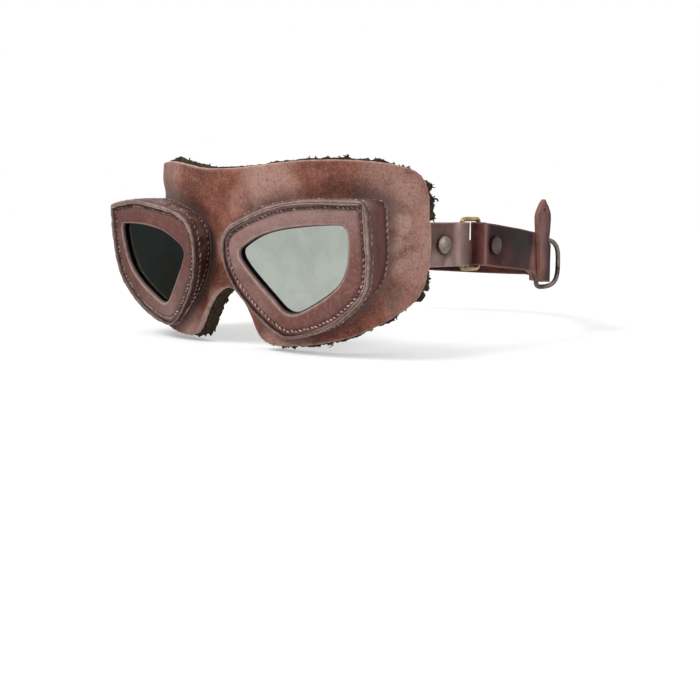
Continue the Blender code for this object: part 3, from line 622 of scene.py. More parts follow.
dark_bronze = metal("dark_bronze", srgb("35302d"), srgb("7a6f68"), 0.48)
coated_lens = lens_finish()


def dress(piece, material, body, slot, *nodes):
    """Give a finished piece its material and its body, and hide the imported nodes it stands for; slot is not used.
    """
    piece.data.materials.clear()
    piece.data.materials.append(material)
    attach(piece, body)
    if nodes:
        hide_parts(*nodes)
    return piece


# Mask

def face_share(p):
    """How far out a place is in plan, with 1 on the outer face of the mask."""
    power = FACE_SQUARENESS
    return ((abs(p.x) / FACE_HALF_WIDTH) ** power + (abs(p.y) / FACE_REACH) ** power) ** (1 / power)


def face_outward(p):
    """The way the mask's outer face looks at a place."""
    power = FACE_SQUARENESS - 1
    return Vector((
        math.copysign((abs(p.x) / FACE_HALF_WIDTH) ** power / FACE_HALF_WIDTH, p.x),
        math.copysign((abs(p.y) / FACE_REACH) ** power / FACE_REACH, p.y), 0.0)).normalized()


# Places on the mask that are lighter, redder or darker: millimetres, reach, share. The lighter places are partly
# leather lightened by wear and partly painted sheen, as in the band where the mask's end curves away and over the
# swell above the tab; the darker places are partly dirt and partly painted shade in the trough beside the cup.
PALE_PATCHES = (
    (-42, -84, 34, 8, 0.45), (-43, -84, 24, 8, 0.5), (24, -87, 30, 13, 0.7), (34, -86, 25, 8, 0.6),
    (20, -88, 19, 5, 0.9), (8, -88, 22, 6, 0.3), (69, -65, 30, 11, 0.5), (75, -56, 24, 10, 0.6),
    (78, -47, 14, 7, 0.7), (73, -59, 12, 4, 0.95), (73, -59, 4, 4, 0.95), (72, -60, -5, 4, 0.9),
    (76, -53, 9, 9, 0.5), (76, -53, -5, 9, 0.6), (78, -47, 2, 7, 0.7), (77, -50, -12, 9, 0.3),
    (73, -58, -20, 7, 0.25), (-28, -87, -32, 9, 0.8), (-9, -88, -22, 5, 0.6), (0, -88, 2, 7, 0.5),
    (34, -86, -37, 11, 0.7), (-60, -74, 28, 10, 0.5), (-74, -57, 14, 10, 0.6), (-68, -66, -24, 9, 0.4),
)
WARM_PATCHES = (
    (-24, -87, 33, 11, 1.0), (-6, -88, 31, 12, 0.9), (-16, -88, 23, 10, 0.6), (50, -81, 34, 10, 0.55),
    (60, -75, 31, 11, 0.6), (50, -82, 27, 8, 0.45), (50, -81, -31, 15, 0.8), (63, -72, -27, 11, 0.7),
    (-2, -88, -10, 6, 0.7), (77, -51, 13, 4, 0.2), (-55, -78, 34, 12, 0.7), (-66, -69, 8, 10, 0.5),
    (-50, -81, -30, 12, 0.7),
)
# The darker places: partly dirt, partly painted shade
GRIME_AND_SHADE_PATCHES = (
    (-43, -84, 36, 5, 0.35), (-43, -84, 26, 7, 0.35), (68, -67, 20, 4, 0.4), (72, -61, 18, 4, 0.5),
    (71, -62, -16, 5, 0.4),
)
# Sunk seam round the cups' feet and the swell beyond it: height, distance from the feet and reach
SEAM = (-0.8 * MM, 1.0 * MM, 3.2 * MM)
SWELL = (0.5 * MM, 8.5 * MM, 4.0 * MM)
TAB_LIFT = 0.9 * MM
TAB_MARGIN = 1.2 * MM
MASK_FACES = 0.7 * MM


def in_patches(p, patches):
    """How much of a patch a place has, with the patches' outlines wandering."""
    spot = p + noise.noise_vector(p * 110.0) * 3.5 * MM + noise.noise_vector(p * 320.0) * 1.6 * MM
    share = 0.0
    for x, y, z, reach, strength in patches:
        apart = (spot - Vector((x, y, z)) * MM).length / (reach * MM)
        share = max(share, strength * ease(1.45 - apart))
    return share


def mask_relief(p, foot_distance, tab_low, tab_high):
    """How far the outer face stands off its plain curve, in metres."""
    relief = uneven(p, (45.0, 0.45), (130.0, 0.12))
    for height, place, reach in (SEAM, SWELL):
        relief += height * bell(foot_distance - place, reach)
    over_tab = ease((tab_high.z + TAB_MARGIN - p.z) / (2 * TAB_MARGIN))
    over_tab *= ease((p.z - tab_low.z + TAB_MARGIN) / (2 * TAB_MARGIN))
    over_tab *= ease((p.y - tab_low.y + 1.5 * MM) / (3.0 * MM))
    return relief + over_tab * TAB_LIFT


def make_mask(feet):
    """The mask, remade in small even faces, with its seams sunk, its wear marked, and painted sheen and painted
    shade marked with it.
    """
    piece = cad_copy("face_mask", "mask_leather_sheet")
    finish_with(piece, "REMESH", mode="VOXEL", voxel_size=MASK_FACES, use_smooth_shade=True)
    finish_with(piece, "SMOOTH", factor=0.5, iterations=5)
    tree = tree_of(feet)
    lines = cut_lines("face_mask")
    low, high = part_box("left_strap_tab")
    marks = {"edge": [], "burnish": [], "pale": [], "warm": []}
    moved = []
    for v in piece.data.vertices:
        outward = face_outward(v.co)
        distance = tree.find(v.co)[2]
        cut = ease((0.85 - abs(v.normal.dot(outward))) / 0.5)
        marks["edge"].append(max(cut, 0.9 * ease(1.5 - lines.find(v.co)[2] / (0.55 * MM))))
        at_corner = ease((v.co.z - 5 * MM) / (20 * MM)) * ease((abs(v.co.x) - 56 * MM) / (8 * MM))
        over_cup = ease((v.co.z - 12 * MM) / (6 * MM)) * ease(2.0 - abs(v.co.x - 48 * MM) / (8 * MM))
        # Darker band round each cup's foot: painted shade where the cup wall meets the mask, with some dirt; wider
        # at the upper outer corners, less above the left cup
        foot_shade_and_grime = 0.92 * bell(distance, (3.2 + 2.0 * at_corner) * MM) * (1 - 0.55 * over_cup)
        marks["burnish"].append(max(foot_shade_and_grime, in_patches(v.co, GRIME_AND_SHADE_PATCHES)))
        marks["pale"].append(in_patches(v.co, PALE_PATCHES))
        marks["warm"].append(in_patches(v.co, WARM_PATCHES))
        outer = ease(1 + (face_share(v.co) - 1) * FACE_REACH / MASK_THICKNESS)
        moved.append(settled(v.co + outward * mask_relief(v.co, distance, low, high) * outer))
    move(piece, moved)
    write_marks(piece, **marks)
    smooth(piece, 80.0)
    return dress(piece, mask_leather, "goggle_front", "mask_leather", "face_mask")


# Stitches

def make_stitch():
    """One stitch, modelled once: a stretched bead whose ends dip into the leather."""
    piece = added(
        bpy.ops.mesh.primitive_uv_sphere_add, "one_stitch", segments=8, ring_count=7, radius=1.0,
        rotation=(0.0, math.pi / 2, 0.0))
    bpy.ops.object.transform_apply(location=False, rotation=True, scale=False)
    for v in piece.data.vertices:
        v.co.x = math.copysign(abs(v.co.x) ** 0.8, v.co.x)
        v.co.z -= 0.55 * v.co.x * v.co.x
    bpy.ops.object.shade_smooth()
    return piece


one_stitch = make_stitch()

# Rows of stitches: pitch, length, radius, slant, and how far they stray
BEZEL_ROW = (2.1 * MM, 1.9 * MM, 0.38 * MM, 0.55, 0.22 * MM)
WALL_ROW = (2.5 * MM, 2.1 * MM, 0.30 * MM, 0.45, 0.35 * MM)
# The rows of a wall: how far from the lip or from the foot, and their seed
LIP_ROW = (2.9 * MM, 31)
FOOT_ROW = (2.3 * MM, 41)


def stitch_row(name, places, outwards, tones, row, seed):
    """Row of copied stitches along closed places, each a little uneven, lighter where the tone is high."""
    pitch, length, radius, slant, stray = row
    draw = random.Random(seed)
    total = loop_length(places)
    count = round(total / pitch)
    marks, run = [], 0.0
    for i, p in enumerate(places):
        marks.append(run)
        run += (places[(i + 1) % len(places)] - p).length

    def at(distance):
        distance %= total
        i = max(k for k in range(len(marks)) if marks[k] <= distance)
        j = (i + 1) % len(places)
        t = (distance - marks[i]) / max((places[j] - places[i]).length, WELD)
        return places[i].lerp(places[j], t), outwards[i].lerp(outwards[j], t).normalized(), tones[i]

    copies = []
    for k in range(count):
        middle = total * k / count + draw.uniform(-0.08, 0.08) * pitch
        spot, out, tone = at(middle)
        run = (at(middle + length / 2)[0] - at(middle - length / 2)[0]).normalized()
        side = run.cross(out).normalized()
        run = (run + side * slant * draw.uniform(0.4, 1.5)).normalized()
        side = out.cross(run).normalized()
        turn = Matrix((run, side, side.cross(run) * -1)).transposed().to_4x4()
        if turn.determinant() < 0:
            turn = Matrix((run, -side, side.cross(run) * -1)).transposed().to_4x4()
        wide = radius * draw.uniform(0.75, 1.20)
        size = Matrix.Diagonal((length / 2 * draw.uniform(0.60, 1.10), wide, wide, 1.0))
        spot = spot + side * draw.uniform(-stray, stray)
        copy = linked(name, one_stitch.data.copy())
        copy.data.transform(Matrix.Translation(spot) @ turn @ size)
        write_marks(copy, shade=[tone + draw.uniform(-0.35, 0.35)] * len(copy.data.vertices))
        copies.append(copy)
    only(*copies)
    bpy.ops.object.join()
    return named(bpy.context.object, name)


# Cups

# Cut edges of wall and bezel, sewn together: across and up, in millimetres
RIDGE_PROFILE = (
    (-0.10, -0.70), (-0.18, 0.00), (-0.10, 0.48), (0.12, 0.80), (0.44, 0.95), (0.74, 0.82), (0.96, 0.46),
    (1.18, 0.78), (1.46, 0.94), (1.76, 0.76), (2.00, 0.30), (2.06, -0.55),
)
# Painted shade across the ridge, one value for each place of its profile: near-black and darker low on both flanks
# and in the crack between the edges, none on the crests
RIDGE_GAP_SHADE = (0.5, 0.25, 0.0, 0.0, 0.0, 0.0, 0.30, 0.0, 0.0, 0.05, 0.4, 0.7)
RIDGE_SHADE = (0.95, 0.90, 0.72, 0.25, 0.0, 0.10, 0.45, 0.15, 0.1, 0.5, 0.9, 0.9)
# How age has pulled the lips out of their even shape, in the cup's frame: place, pull and reach in millimetres
LEFT_PULLS = ((-22, 15, 0.9, -2.7, 17),)
RIGHT_PULLS = ((29, 14, 1.6, 1.5, 15), (-36, 22, 2.0, -1.4, 6), (-12, 23, 0.0, 1.3, 14))
# Bezel from under the ridge to its opening: inset from the lip and height, in millimetres
BEZEL_OUTER = (
    (1.2, -0.70), (1.8, -0.30), (2.3, -0.46), (2.8, -0.70), (3.30, -0.66), (3.75, -0.26), (4.20, 0.02),
    (4.80, 0.16),
)
BEZEL_INNER = (
    (2.4, 0.20), (1.4, 0.13), (0.85, 0.03), (0.50, -0.10), (0.22, -0.28), (0.05, -0.60), (-0.05, -1.00),
    (-0.50, -1.15), (-0.55, -1.45), (0.10, -1.95),
)
# For each inner row: painted shade, near-black down the wall to the lens, and the light cut edge on the rolled lip
BEZEL_INNER_SHADE = (0.0, 0.0, 0.0, 0.0, 0.15, 0.30, 0.55, 0.95, 1.0, 1.0)
BEZEL_INNER_EDGE = (0.0, 0.0, 0.25, 0.85, 0.45, 0.25, 0.15, 0.0, 0.0, 0.0)
GROOVE_INSET = 2.95
GROOVE_REACH = 0.60
BEZEL_BACK = -2.1 * MM
WALL_ROWS = 16
WALL_THICKNESS = 1.6 * MM
# Slack of a wall at its nose side: place, reach and depth
SLACK = (-22 * MM, 15 * MM, 16 * MM, 1.7 * MM)
FOOT_TURN = 0.55 * MM


def pulled(p, pulls):
    """A lip place where age has pulled it to."""
    for x, y, right, up, reach in pulls:
        p = p + Vector((right, up, 0.0)) * MM * bell(math.hypot(p.x - x * MM, p.y - y * MM), reach * MM)
    return p


def make_cup(side):
    """One cup and all that is sewn to it; gives the places where its wall meets the mask."""
    name = "left" if side > 0 else "right"
    cup = cup_frame(side)
    lip = local_loops(name + "_cup_wall", cup, CUP_LIP_PROUD)[0]
    opening = local_loops(name + "_bezel", cup, 0.0)[1]
    corner = max(lip, key=lambda p: side * p.x + p.y)
    pulls = LEFT_PULLS if side > 0 else RIGHT_PULLS
    feet = [cup.inverted() @ settled(cup @ foot_place(cup, p)) for p in lip]
    lip = [pulled(p, pulls) for p in lip]
    temple = [ease(side * p.x / CUP_HALF_WIDTH * 0.9 + 0.45) for p in lip]
    top = [ease(p.y / (20 * MM)) for p in lip]
    make_wall(name, cup, lip, feet, corner)
    make_ridge(name, cup, lip, temple, top, corner)
    make_bezel(name, cup, lip, opening, side)
    make_cup_stitches(name, cup, lip, feet, side)
    lens = frame["nodes"][name + "_lens"]
    lens.data.materials.clear()
    lens.data.materials.append(coated_lens)
    gasket = cad_copy(name + "_lens_gasket", name + "_gasket_ring")
    finish_with(gasket, "BEVEL", width=0.3 * MM, segments=2, limit_method="ANGLE", angle_limit=math.radians(50))
    smooth(gasket)
    dress(gasket, felt, "goggle_front", "gasket_felt", name + "_lens_gasket")
    return [cup @ foot for foot in feet]


def wall_bulge(p, foot, side, t):
    """How far a wall stands off the straight line from its lip (t 0) to its foot (t 1)."""
    x, y, reach, depth = SLACK
    slack = bell(math.hypot(p.x - side * x, p.y - y), reach)
    full = min(0.6 * MM, (foot - p).length * 0.05) + depth * slack
    return full * math.sin(math.pi * t) + FOOT_TURN * ease((t - 0.86) / 0.14)


def make_wall(name, cup, lip, feet, corner):
    """Side of a cup from under its ridge down to the mask, a little full between the two."""
    side = 1 if name == "left" else -1
    rings = []
    for r in range(WALL_ROWS + 1):
        t = r / WALL_ROWS
        ring = []
        for p, foot in zip(lip, feet):
            start = Vector((p.x, p.y, 0.2 * MM))
            out = Vector((p.x, p.y, 0.0)).normalized()
            spot = start.lerp(foot, t) + out * wall_bulge(p, foot, side, t)
            wave = noise.noise(spot * 160.0) * 0.25 * MM * math.sin(math.pi * t)
            ring.append(cup @ (spot + out * wave))
        rings.append(ring)
    # Painted shade: darker rows under the ridge's overhang and near the foot, where the wall meets the mask
    burnish = [
        0.75 * ease(1 - r / 2.5) + 0.95 * ease(1 - abs(WALL_ROWS - 2.2 - r) / 1.8) for r in range(WALL_ROWS + 1)]
    edge = [0.0] * WALL_ROWS + [0.85]
    wall = skin(name + "_wall_leather", rings, burnish=burnish, edge=edge)
    middle = cup.translation
    if sum((f.center - middle).dot(f.normal) for f in wall.data.polygons) < 0:
        wall.data.flip_normals()
    back = cup.inverted()
    warm, pale = [], []
    for i, v in enumerate(wall.data.vertices):
        p = back @ v.co
        temple = ease(side * p.x / CUP_HALF_WIDTH * 2.2 - 1.1)
        warm.append(0.9 * temple)
        fold = 0.8 * bell((p.xy - corner.xy).length, 2.6 * MM)
        crest = (1 - temple) * ease(p.y / (14 * MM)) * ease(0.5 + noise.noise(v.co * 300.0) * 1.6)
        pale.append(max(fold, 0.55 * crest))
        thin = bell(p.z + 2.4 * MM, 0.45 * MM) * temple
        mark = wall.data.attributes["edge"].data[i]
        mark.value = max(mark.value, 0.6 * thin)
    write_marks(wall, warm=warm, pale=pale)
    finish_with(wall, "SOLIDIFY", thickness=WALL_THICKNESS, offset=-1.0, use_even_offset=False)
    smooth(wall, 60.0)
    dress(wall, wall_leather, "goggle_front", "cup_leather", name + "_cup_wall")


def make_ridge(name, cup, lip, temple, top, corner):
    """The two cut edges that stand up round the lip, frayed, with the crack between them."""
    rings = []
    widths = [
        (0.40 + 0.62 * max(t, 0.72 * u)) * (1 - 0.6 * bell((p.xy - corner.xy).length, 1.6 * MM))
        for t, u, p in zip(temple, top, lip)]
    for across, up in RIDGE_PROFILE:
        ring = []
        for p, width in zip(inward(lip, [across * MM * w for w in widths]), widths):
            spot = Vector((p.x, p.y, up * MM * (0.50 + 0.50 * width)))
            rough = noise.noise_vector(spot * 330.0) * 0.25 * MM + noise.noise_vector(spot * 900.0) * 0.17 * MM
            ring.append(cup @ (spot + rough * (1.0 if up > -0.3 else 0.2)))
        rings.append(ring)
    ridge = skin(name + "_sewn_ridge", rings, joined=True, gap=[g * 0.8 for g in RIDGE_GAP_SHADE], burnish=RIDGE_SHADE)
    back = cup.inverted()
    side = 1 if name == "left" else -1
    warm = []
    for v in ridge.data.vertices:
        p = back @ v.co
        low = ease(0.35 - p.y / (30 * MM)) * (0.45 + 0.55 * ease(0.5 + side * p.x / (24 * MM)))
        warm.append(0.95 * low)
    write_marks(ridge, warm=warm)
    smooth(ridge, 70.0)
    dress(ridge, cut_edge, "goggle_front", "cup_leather")


def make_bezel(name, cup, lip, opening, side):
    """Leather face of a cup: sewn channel, soft pillow and an edge rolled down to the lens."""
    inner = matched(opening, lip)
    rings, edge, burnish, gap = [], [], [], []
    for inset, up in BEZEL_OUTER:
        ring = inward(lip, [inset * MM] * len(lip))
        rings.append([Vector((p.x, p.y, up * MM)) for p in ring])
        # Painted shade: darker and partly near-black in the sewn channel, a little darker over the other outer rows
        channel = bell(inset - GROOVE_INSET, GROOVE_REACH)
        edge.append(0.0)
        burnish.append(0.20 + channel * 0.75 if inset < 4.5 else 0.0)
        gap.append(0.40 * channel)
    for (inset, up), dark, light in zip(BEZEL_INNER, BEZEL_INNER_SHADE, BEZEL_INNER_EDGE):
        rings.append([
            Vector((q.x, q.y, up * MM)) + Vector((p.x - q.x, p.y - q.y, 0.0)).normalized() * inset * MM
            for p, q in zip(lip, inner)])
        edge.append(light)
        burnish.append(0.0)
        gap.append(dark)
    rings.append([Vector((q.x, q.y, BEZEL_BACK)) + (p - q).normalized() * 1.2 * MM for p, q in zip(lip, inner)])
    rings.append([Vector((p.x, p.y, BEZEL_BACK)) for p in inward(lip, [2.2 * MM] * len(lip))])
    # The two back rows are painted in shade
    edge += [0.0, 0.0]
    burnish += [0.6, 0.6]
    gap += [0.8, 0.8]
    for ring in rings:
        for i, p in enumerate(ring):
            wave = noise.noise(Vector((p.x, p.y, side * 0.1)) * 120.0) * 0.22 * MM
            wave += noise.noise(Vector((p.x, p.y, side * 0.3)) * 400.0) * 0.07 * MM
            ring[i] = cup @ Vector((p.x, p.y, p.z + wave))
    bezel = skin(name + "_bezel_leather", rings, joined=True, edge=edge, burnish=burnish, gap=gap)
    back = cup.inverted()
    warm, pale = [], []
    for v in bezel.data.vertices:
        p = back @ v.co
        # Broad tone across each bezel, partly the leather's own and partly painted light and shade: rosier towards
        # one side, redder and darker towards the other
        stray = noise.noise(v.co * 90.0) * 0.35
        if side > 0:
            red = ease((p.x / (40 * MM) - p.y / (24 * MM)) * 1.1 + stray)
            rosy = ease(0.12 - p.x / (70 * MM) + p.y / (24 * MM) + stray)
        else:
            red = ease((p.x / (60 * MM) + p.y / (16 * MM)) * 1.1 + 0.15 + stray)
            rosy = ease(-0.3 - p.y / (26 * MM) + stray)
        warm.append(0.95 * red)
        pale.append(0.32 * rosy)
        low = ease(0.5 - p.y / (16 * MM)) if side > 0 else 0.5
        mark = bezel.data.attributes["burnish"].data[v.index]
        # Painted shade: the right cup's bezel darker all over, more so towards -X of its frame
        far_cup_shade = 0.0 if side > 0 else 0.18 + 0.15 * ease(-p.x / (20 * MM))
        mark.value = mark.value * (1 - 0.55 * low) + far_cup_shade
        warm[-1] = max(warm[-1], 0.8 * low * min(1.0, 1.6 * mark.value))
    write_marks(bezel, warm=warm, pale=pale)
    smooth(bezel, 70.0)
    dress(bezel, bezel_leather, "goggle_front", "bezel_leather", name + "_bezel")


def make_cup_stitches(name, cup, lip, feet, side):
    """Row in the bezel's channel, and rows along the lip and along the foot of the wall."""
    facing = cup.col[2].to_3d()
    groove = inward(lip, [GROOVE_INSET * MM] * len(lip))
    line = [cup @ Vector((p.x, p.y, -0.40 * MM)) for p in groove]
    lift = 0.50 if side > 0 else 0.30
    tones = [0.25 + lift * ease(0.6 - p.y / (18 * MM)) + 0.25 * noise.noise(p * 160.0) for p in lip]
    row = stitch_row(name + "_bezel_stitches", line, [facing] * len(line), tones, BEZEL_ROW, 11 + side)
    dress(row, thread, "goggle_front", "stitching")
    for label, (away, seed) in (("lip", LIP_ROW), ("foot", FOOT_ROW)):
        line, outs = [], []
        for i, (p, foot) in enumerate(zip(lip, feet)):
            start = Vector((p.x, p.y, 0.0))
            depth = (foot - start).length
            share = away / depth if label == "lip" else 1 - away / depth
            out = Vector((p.x, p.y, 0.0)).normalized()
            full = wall_bulge(p, foot, side, min(1.0, max(0.0, share)))
            line.append(cup @ (start.lerp(foot, share) + out * (full + 0.10 * MM)))
            run = lip[(i + 1) % len(lip)] - lip[i - 1]
            normal = run.cross(foot - start).normalized()
            if normal.dot(out) < 0:
                normal.negate()
            outs.append(cup.to_3x3() @ normal)
        row = stitch_row(
            name + "_wall_" + label + "_stitches", line, outs, [0.5] * len(line), WALL_ROW, seed + side)
        dress(row, pale_thread, "goggle_front", "stitching")


# Lining

# Places where the pile stands out past the leather: millimetres, reach, share
TUFTS = (
    (-40, -84, 39, 7, 0.9), (-28, -86, 38, 6, 0.6), (60, -75, 38, 5, 0.7), (69, -66, 38, 6, 0.9),
    (74, -58, 36, 4, 0.5), (78, -45, 26, 6, 0.8), (78, -44, 20, 7, 0.9), (78, -44, 14, 6, 0.85),
    (78, -44, -13, 6, 1.0), (77, -47, -20, 6, 0.9), (72, -60, -28, 8, 0.8), (60, -73, -34, 7, 0.5),
    (-78, -44, 19, 8, 1.0), (-78, -44, -16, 8, 0.9), (-70, -62, -28, 8, 0.7), (-66, -68, 38, 8, 0.7),
)
# How far a whole tuft stands out, how much more at the mask's ends, and how far flat pile draws back
TUFT_HEIGHT = 2.9 * MM
END_TUFT = 6.2 * MM
PILE_DRAWN = 2.1 * MM
PILE_FACES = 1.0 * MM
# Curls of pile: pitch, size and seed
RIM_CURLS = (0.70 * MM, 0.48 * MM, 5)
INNER_CURLS = (1.6 * MM, 0.95 * MM, 6)
CURL_TURN = math.radians(150)


def clumping(p):
    """0 where the pile lies flat, 1 where it stands out in a tuft."""
    return max(in_patches(p, TUFTS), 0.16 * ease(noise.noise(p * 150.0) * 2.0))


def pile_stand(p, clump):
    """How far the rim of the pile stands out, or in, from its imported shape."""
    end = ease((p.y + 53 * MM) / (5 * MM))
    return (TUFT_HEIGHT + END_TUFT * end) * clump - PILE_DRAWN


def make_lining():
    """The pile's own body, lumpy at its rim, with tufts pushed out past the leather."""
    piece = cad_copy("fleece_lining", "fleece_pile")
    finish_with(piece, "REMESH", mode="VOXEL", voxel_size=PILE_FACES, use_smooth_shade=True)
    for v in piece.data.vertices:
        outward = face_outward(v.co)
        facing = v.normal.dot(outward)
        if facing < 0.75:
            clump = clumping(v.co)
            lump = uneven(v.co, (240.0, 0.7), (700.0, 0.4))
            stand = pile_stand(v.co, clump) * ease((0.8 - abs(facing)) / 0.4)
            v.co += v.normal * (lump * (0.5 + 0.8 * clump) + stand)
    finish_with(piece, "SMOOTH", factor=0.5, iterations=3)
    for v in piece.data.vertices:
        v.co = settled(v.co)
    smooth(piece, 80.0)
    dress(piece, pile, "goggle_front", "fleece", "fleece_lining")
    return piece


def make_lock():
    """One curl of pile, modelled once: a small triangle, spun into a hook and thinned to its tip."""
    piece = added(bpy.ops.mesh.primitive_circle_add, "one_lock", vertices=3, radius=0.40, fill_type="NGON")
    with editing(piece):
        bpy.ops.mesh.spin(steps=3, angle=CURL_TURN, center=(1.0, 0.0, 0.0), axis=(0.0, 1.0, 0.0))
    sewn_closed(piece, 0.001)
    along = []
    for v in piece.data.vertices:
        turn = math.atan2(v.co.z, 1.0 - v.co.x)
        along.append(max(0.0, turn) / CURL_TURN)
        middle = Vector((1.0 - math.cos(turn), 0.0, math.sin(turn)))
        v.co = middle + (v.co - middle) * (1 - 0.62 * along[-1])
    write_marks(piece, tip=along)
    return piece


one_lock = make_lock()


def at_rim(facing, clump):
    """How thickly curls stand on the pile's rim."""
    return (0.6 + 1.6 * clump) * (abs(facing) < 0.75)


def at_back(facing, clump):
    """Curls on the wearer's side, all over."""
    return facing < -0.8


def make_locks(name, lining, wanted, curls):
    """Curls of pile copied over the faces of the finished lining that are wanted."""
    pitch, size, seed = curls
    draw = random.Random(seed)
    pattern = [v.co.copy() for v in one_lock.data.vertices]
    tips = [item.value for item in one_lock.data.attributes["tip"].data]
    corners = [tuple(f.vertices) for f in one_lock.data.polygons]
    places, faces, marks = [], [], []
    for face in lining.data.polygons:
        facing = face.normal.dot(face_outward(face.center))
        clump = clumping(face.center)
        share = wanted(facing, clump)
        if not share:
            continue
        expected = face.area / pitch ** 2 * share
        whole = int(expected) + (1 if draw.random() < expected % 1 else 0)
        a, b, c = (lining.data.vertices[i].co for i in face.vertices[:3])
        for _ in range(whole):
            s, t = draw.random(), draw.random()
            root = a + (b - a) * s + (c - b) * t if len(face.vertices) == 4 else a.lerp(b, s).lerp(c, t)
            stray = Vector((draw.uniform(-1, 1), draw.uniform(-1, 1), draw.uniform(-1, 1)))
            lean = (face.normal + stray * 0.8).normalized()
            scale = size * (0.80 + 0.45 * clump) * draw.uniform(0.6, 1.25)
            grown = Matrix.Translation(root - face.normal * 0.35 * size)
            grown @= upright(lean)
            grown @= Matrix.Rotation(draw.uniform(0, 2 * math.pi), 4, "Z") @ Matrix.Scale(scale, 4)
            first = len(places)
            places += [grown @ p for p in pattern]
            faces += [tuple(first + i for i in f) for f in corners]
            shade = draw.uniform(0.35, 1.0)
            marks += [t * shade for t in tips]
    mesh = bpy.data.meshes.new(name)
    mesh.from_pydata(places, [], faces)
    piece = linked(name, mesh)
    write_marks(piece, tip=marks)
    only(piece)
    bpy.ops.object.shade_smooth()
    dress(piece, pile, "goggle_front", "fleece")


# Straps and tabs

# Places on straps and tabs that are redder or lighter: millimetres, reach, share. The lighter places are partly
# leather lightened by wear and partly a painted highlight on the folds.
STRAP_WARM = (
    (79, -6, -8, 6, 0.6), (80, 8, -8, 8, 0.6), (78, 22, -9, 8, 0.5), (75, 38, -10, 8, 0.5),
    (-79, -13, 0, 5, 1.0), (-79, 6, -7, 9, 0.8), (-60, 74, -8, 14, 0.7), (20, 96, -9, 16, 0.7),
    (74, 46, 21, 8, 0.5), (75, 43, 8, 8, 0.5), (75, 42, -6, 8, 0.8),
)
STRAP_PALE = (
    (74, 46, 20, 10, 0.45), (75, 43, 8, 8, 0.55), (75, 42, -6, 9, 0.65),
    (-80, -9, 2, 3, 0.6), (0, 99, 0, 12, 0.35),
)
TAB_WARM = ((80, -30, 5, 3.5, 0.7), (79, -31, 0, 3, 0.5), (-80, -29, 4, 4, 0.6))
TAB_PALE = ((76, -42, -4, 5, 0.5), (79, -32, -5, 4, 0.6), (-80, -26, 3, 4, 0.8))
# Where each fold carries a painted highlight and where it is reddened: forward of the middle and reach, in
# millimetres
TAB_BEND = (27.0, 2.6, 31.0, 1.6)
STRAP_BEND = (9.5, 2.3, 12.8, 2.6)
EDGE_WIDTH = 0.75 * MM
EDGE_ROUND = 0.30 * MM
# Dent round each rivet: depth, distance from its middle and reach
RIVET_DENT = (-0.22 * MM, 4.4 * MM, 1.5 * MM)


def broad_sides(piece):
    """Faces of a strap's two broad sides: what sharp edges part, without its narrow cut sides."""
    shape = bmesh.new()
    shape.from_mesh(piece.data)
    waiting = set(shape.faces)
    wanted = set()
    while waiting:
        start = min(waiting, key=lambda f: f.index)
        waiting.discard(start)
        region, front = [start], [start]
        while front:
            face = front.pop()
            for edge in face.edges:
                if edge.calc_face_angle(math.pi) > math.radians(40):
                    continue
                for other in edge.link_faces:
                    if other in waiting:
                        waiting.discard(other)
                        region.append(other)
                        front.append(other)
        inside = set(region)
        rim = sum(e.calc_length() for f in region for e in f.edges if any(o not in inside for o in e.link_faces))
        if sum(f.calc_area() for f in region) > 1.6 * MM * rim:
            wanted.update(f.index for f in region)
    shape.free()
    return wanted


def make_strap(node, name, material, body, warm, pale, bend, rivets):
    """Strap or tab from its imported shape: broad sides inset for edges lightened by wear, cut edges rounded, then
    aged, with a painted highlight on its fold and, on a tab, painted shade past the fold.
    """
    piece = cad_copy(node, name, whole=False)
    with editing(piece):
        bpy.ops.mesh.subdivide(number_cuts=3)
        bpy.ops.mesh.select_all(action="DESELECT")
    wanted = broad_sides(piece)
    for face in piece.data.polygons:
        face.select = face.index in wanted
    bpy.ops.object.mode_set(mode="EDIT")
    bpy.ops.mesh.select_mode(type="FACE")
    bpy.ops.mesh.inset(thickness=EDGE_WIDTH, use_even_offset=False)
    bpy.ops.object.mode_set(mode="OBJECT")
    middle = {i for f in piece.data.polygons if f.select for i in f.vertices}
    write_marks(piece, edge=[0.0 if v.index in middle else 0.9 for v in piece.data.vertices])
    finish_with(piece, "BEVEL", width=EDGE_ROUND, segments=2, limit_method="ANGLE", angle_limit=math.radians(50))
    seats = [rivet_seat(rivet)[0] for rivet in rivets]
    marks = {"warm": [], "pale": [], "burnish": []}
    moved = []
    for v in piece.data.vertices:
        along = -v.co.y / MM if abs(v.co.x) > 70 * MM else 0.0
        mottled_amount = 0.75 + 0.5 * noise.noise(v.co * 240.0)
        # Painted highlight along the curve of the fold
        bend_highlight = mottled_amount * bell(along - bend[0], bend[1])
        reddened = min(1.0, 1.4 * mottled_amount) * bell(along - bend[2], bend[3])
        marks["warm"].append(max(in_patches(v.co, warm), 0.9 * reddened))
        marks["pale"].append(max(in_patches(v.co, pale), min(1.0, 1.1 * bend_highlight)))
        near = min((v.co - seat).length for seat in seats)
        # Painted shade on the tab past its fold, where the leather turns away from the light; darker round the
        # rivets as well
        fold = ease((22.5 * MM - abs(v.co.y)) / (2.0 * MM)) if material is tab_leather else 0.0
        marks["burnish"].append(max(0.6 * ease(1.9 - near / (3.4 * MM)), 0.75 * fold))
        dent = RIVET_DENT[0] * bell(near - RIVET_DENT[1], RIVET_DENT[2])
        wave = uneven(v.co, (90.0, 0.16), (260.0, 0.07))
        moved.append(v.co + v.normal * (wave * 0.8 + dent * abs(v.normal.x)))
    move(piece, moved)
    write_marks(piece, **marks)
    smooth(piece, 40.0)
    return dress(piece, material, body, "strap_leather", node)


# Metal

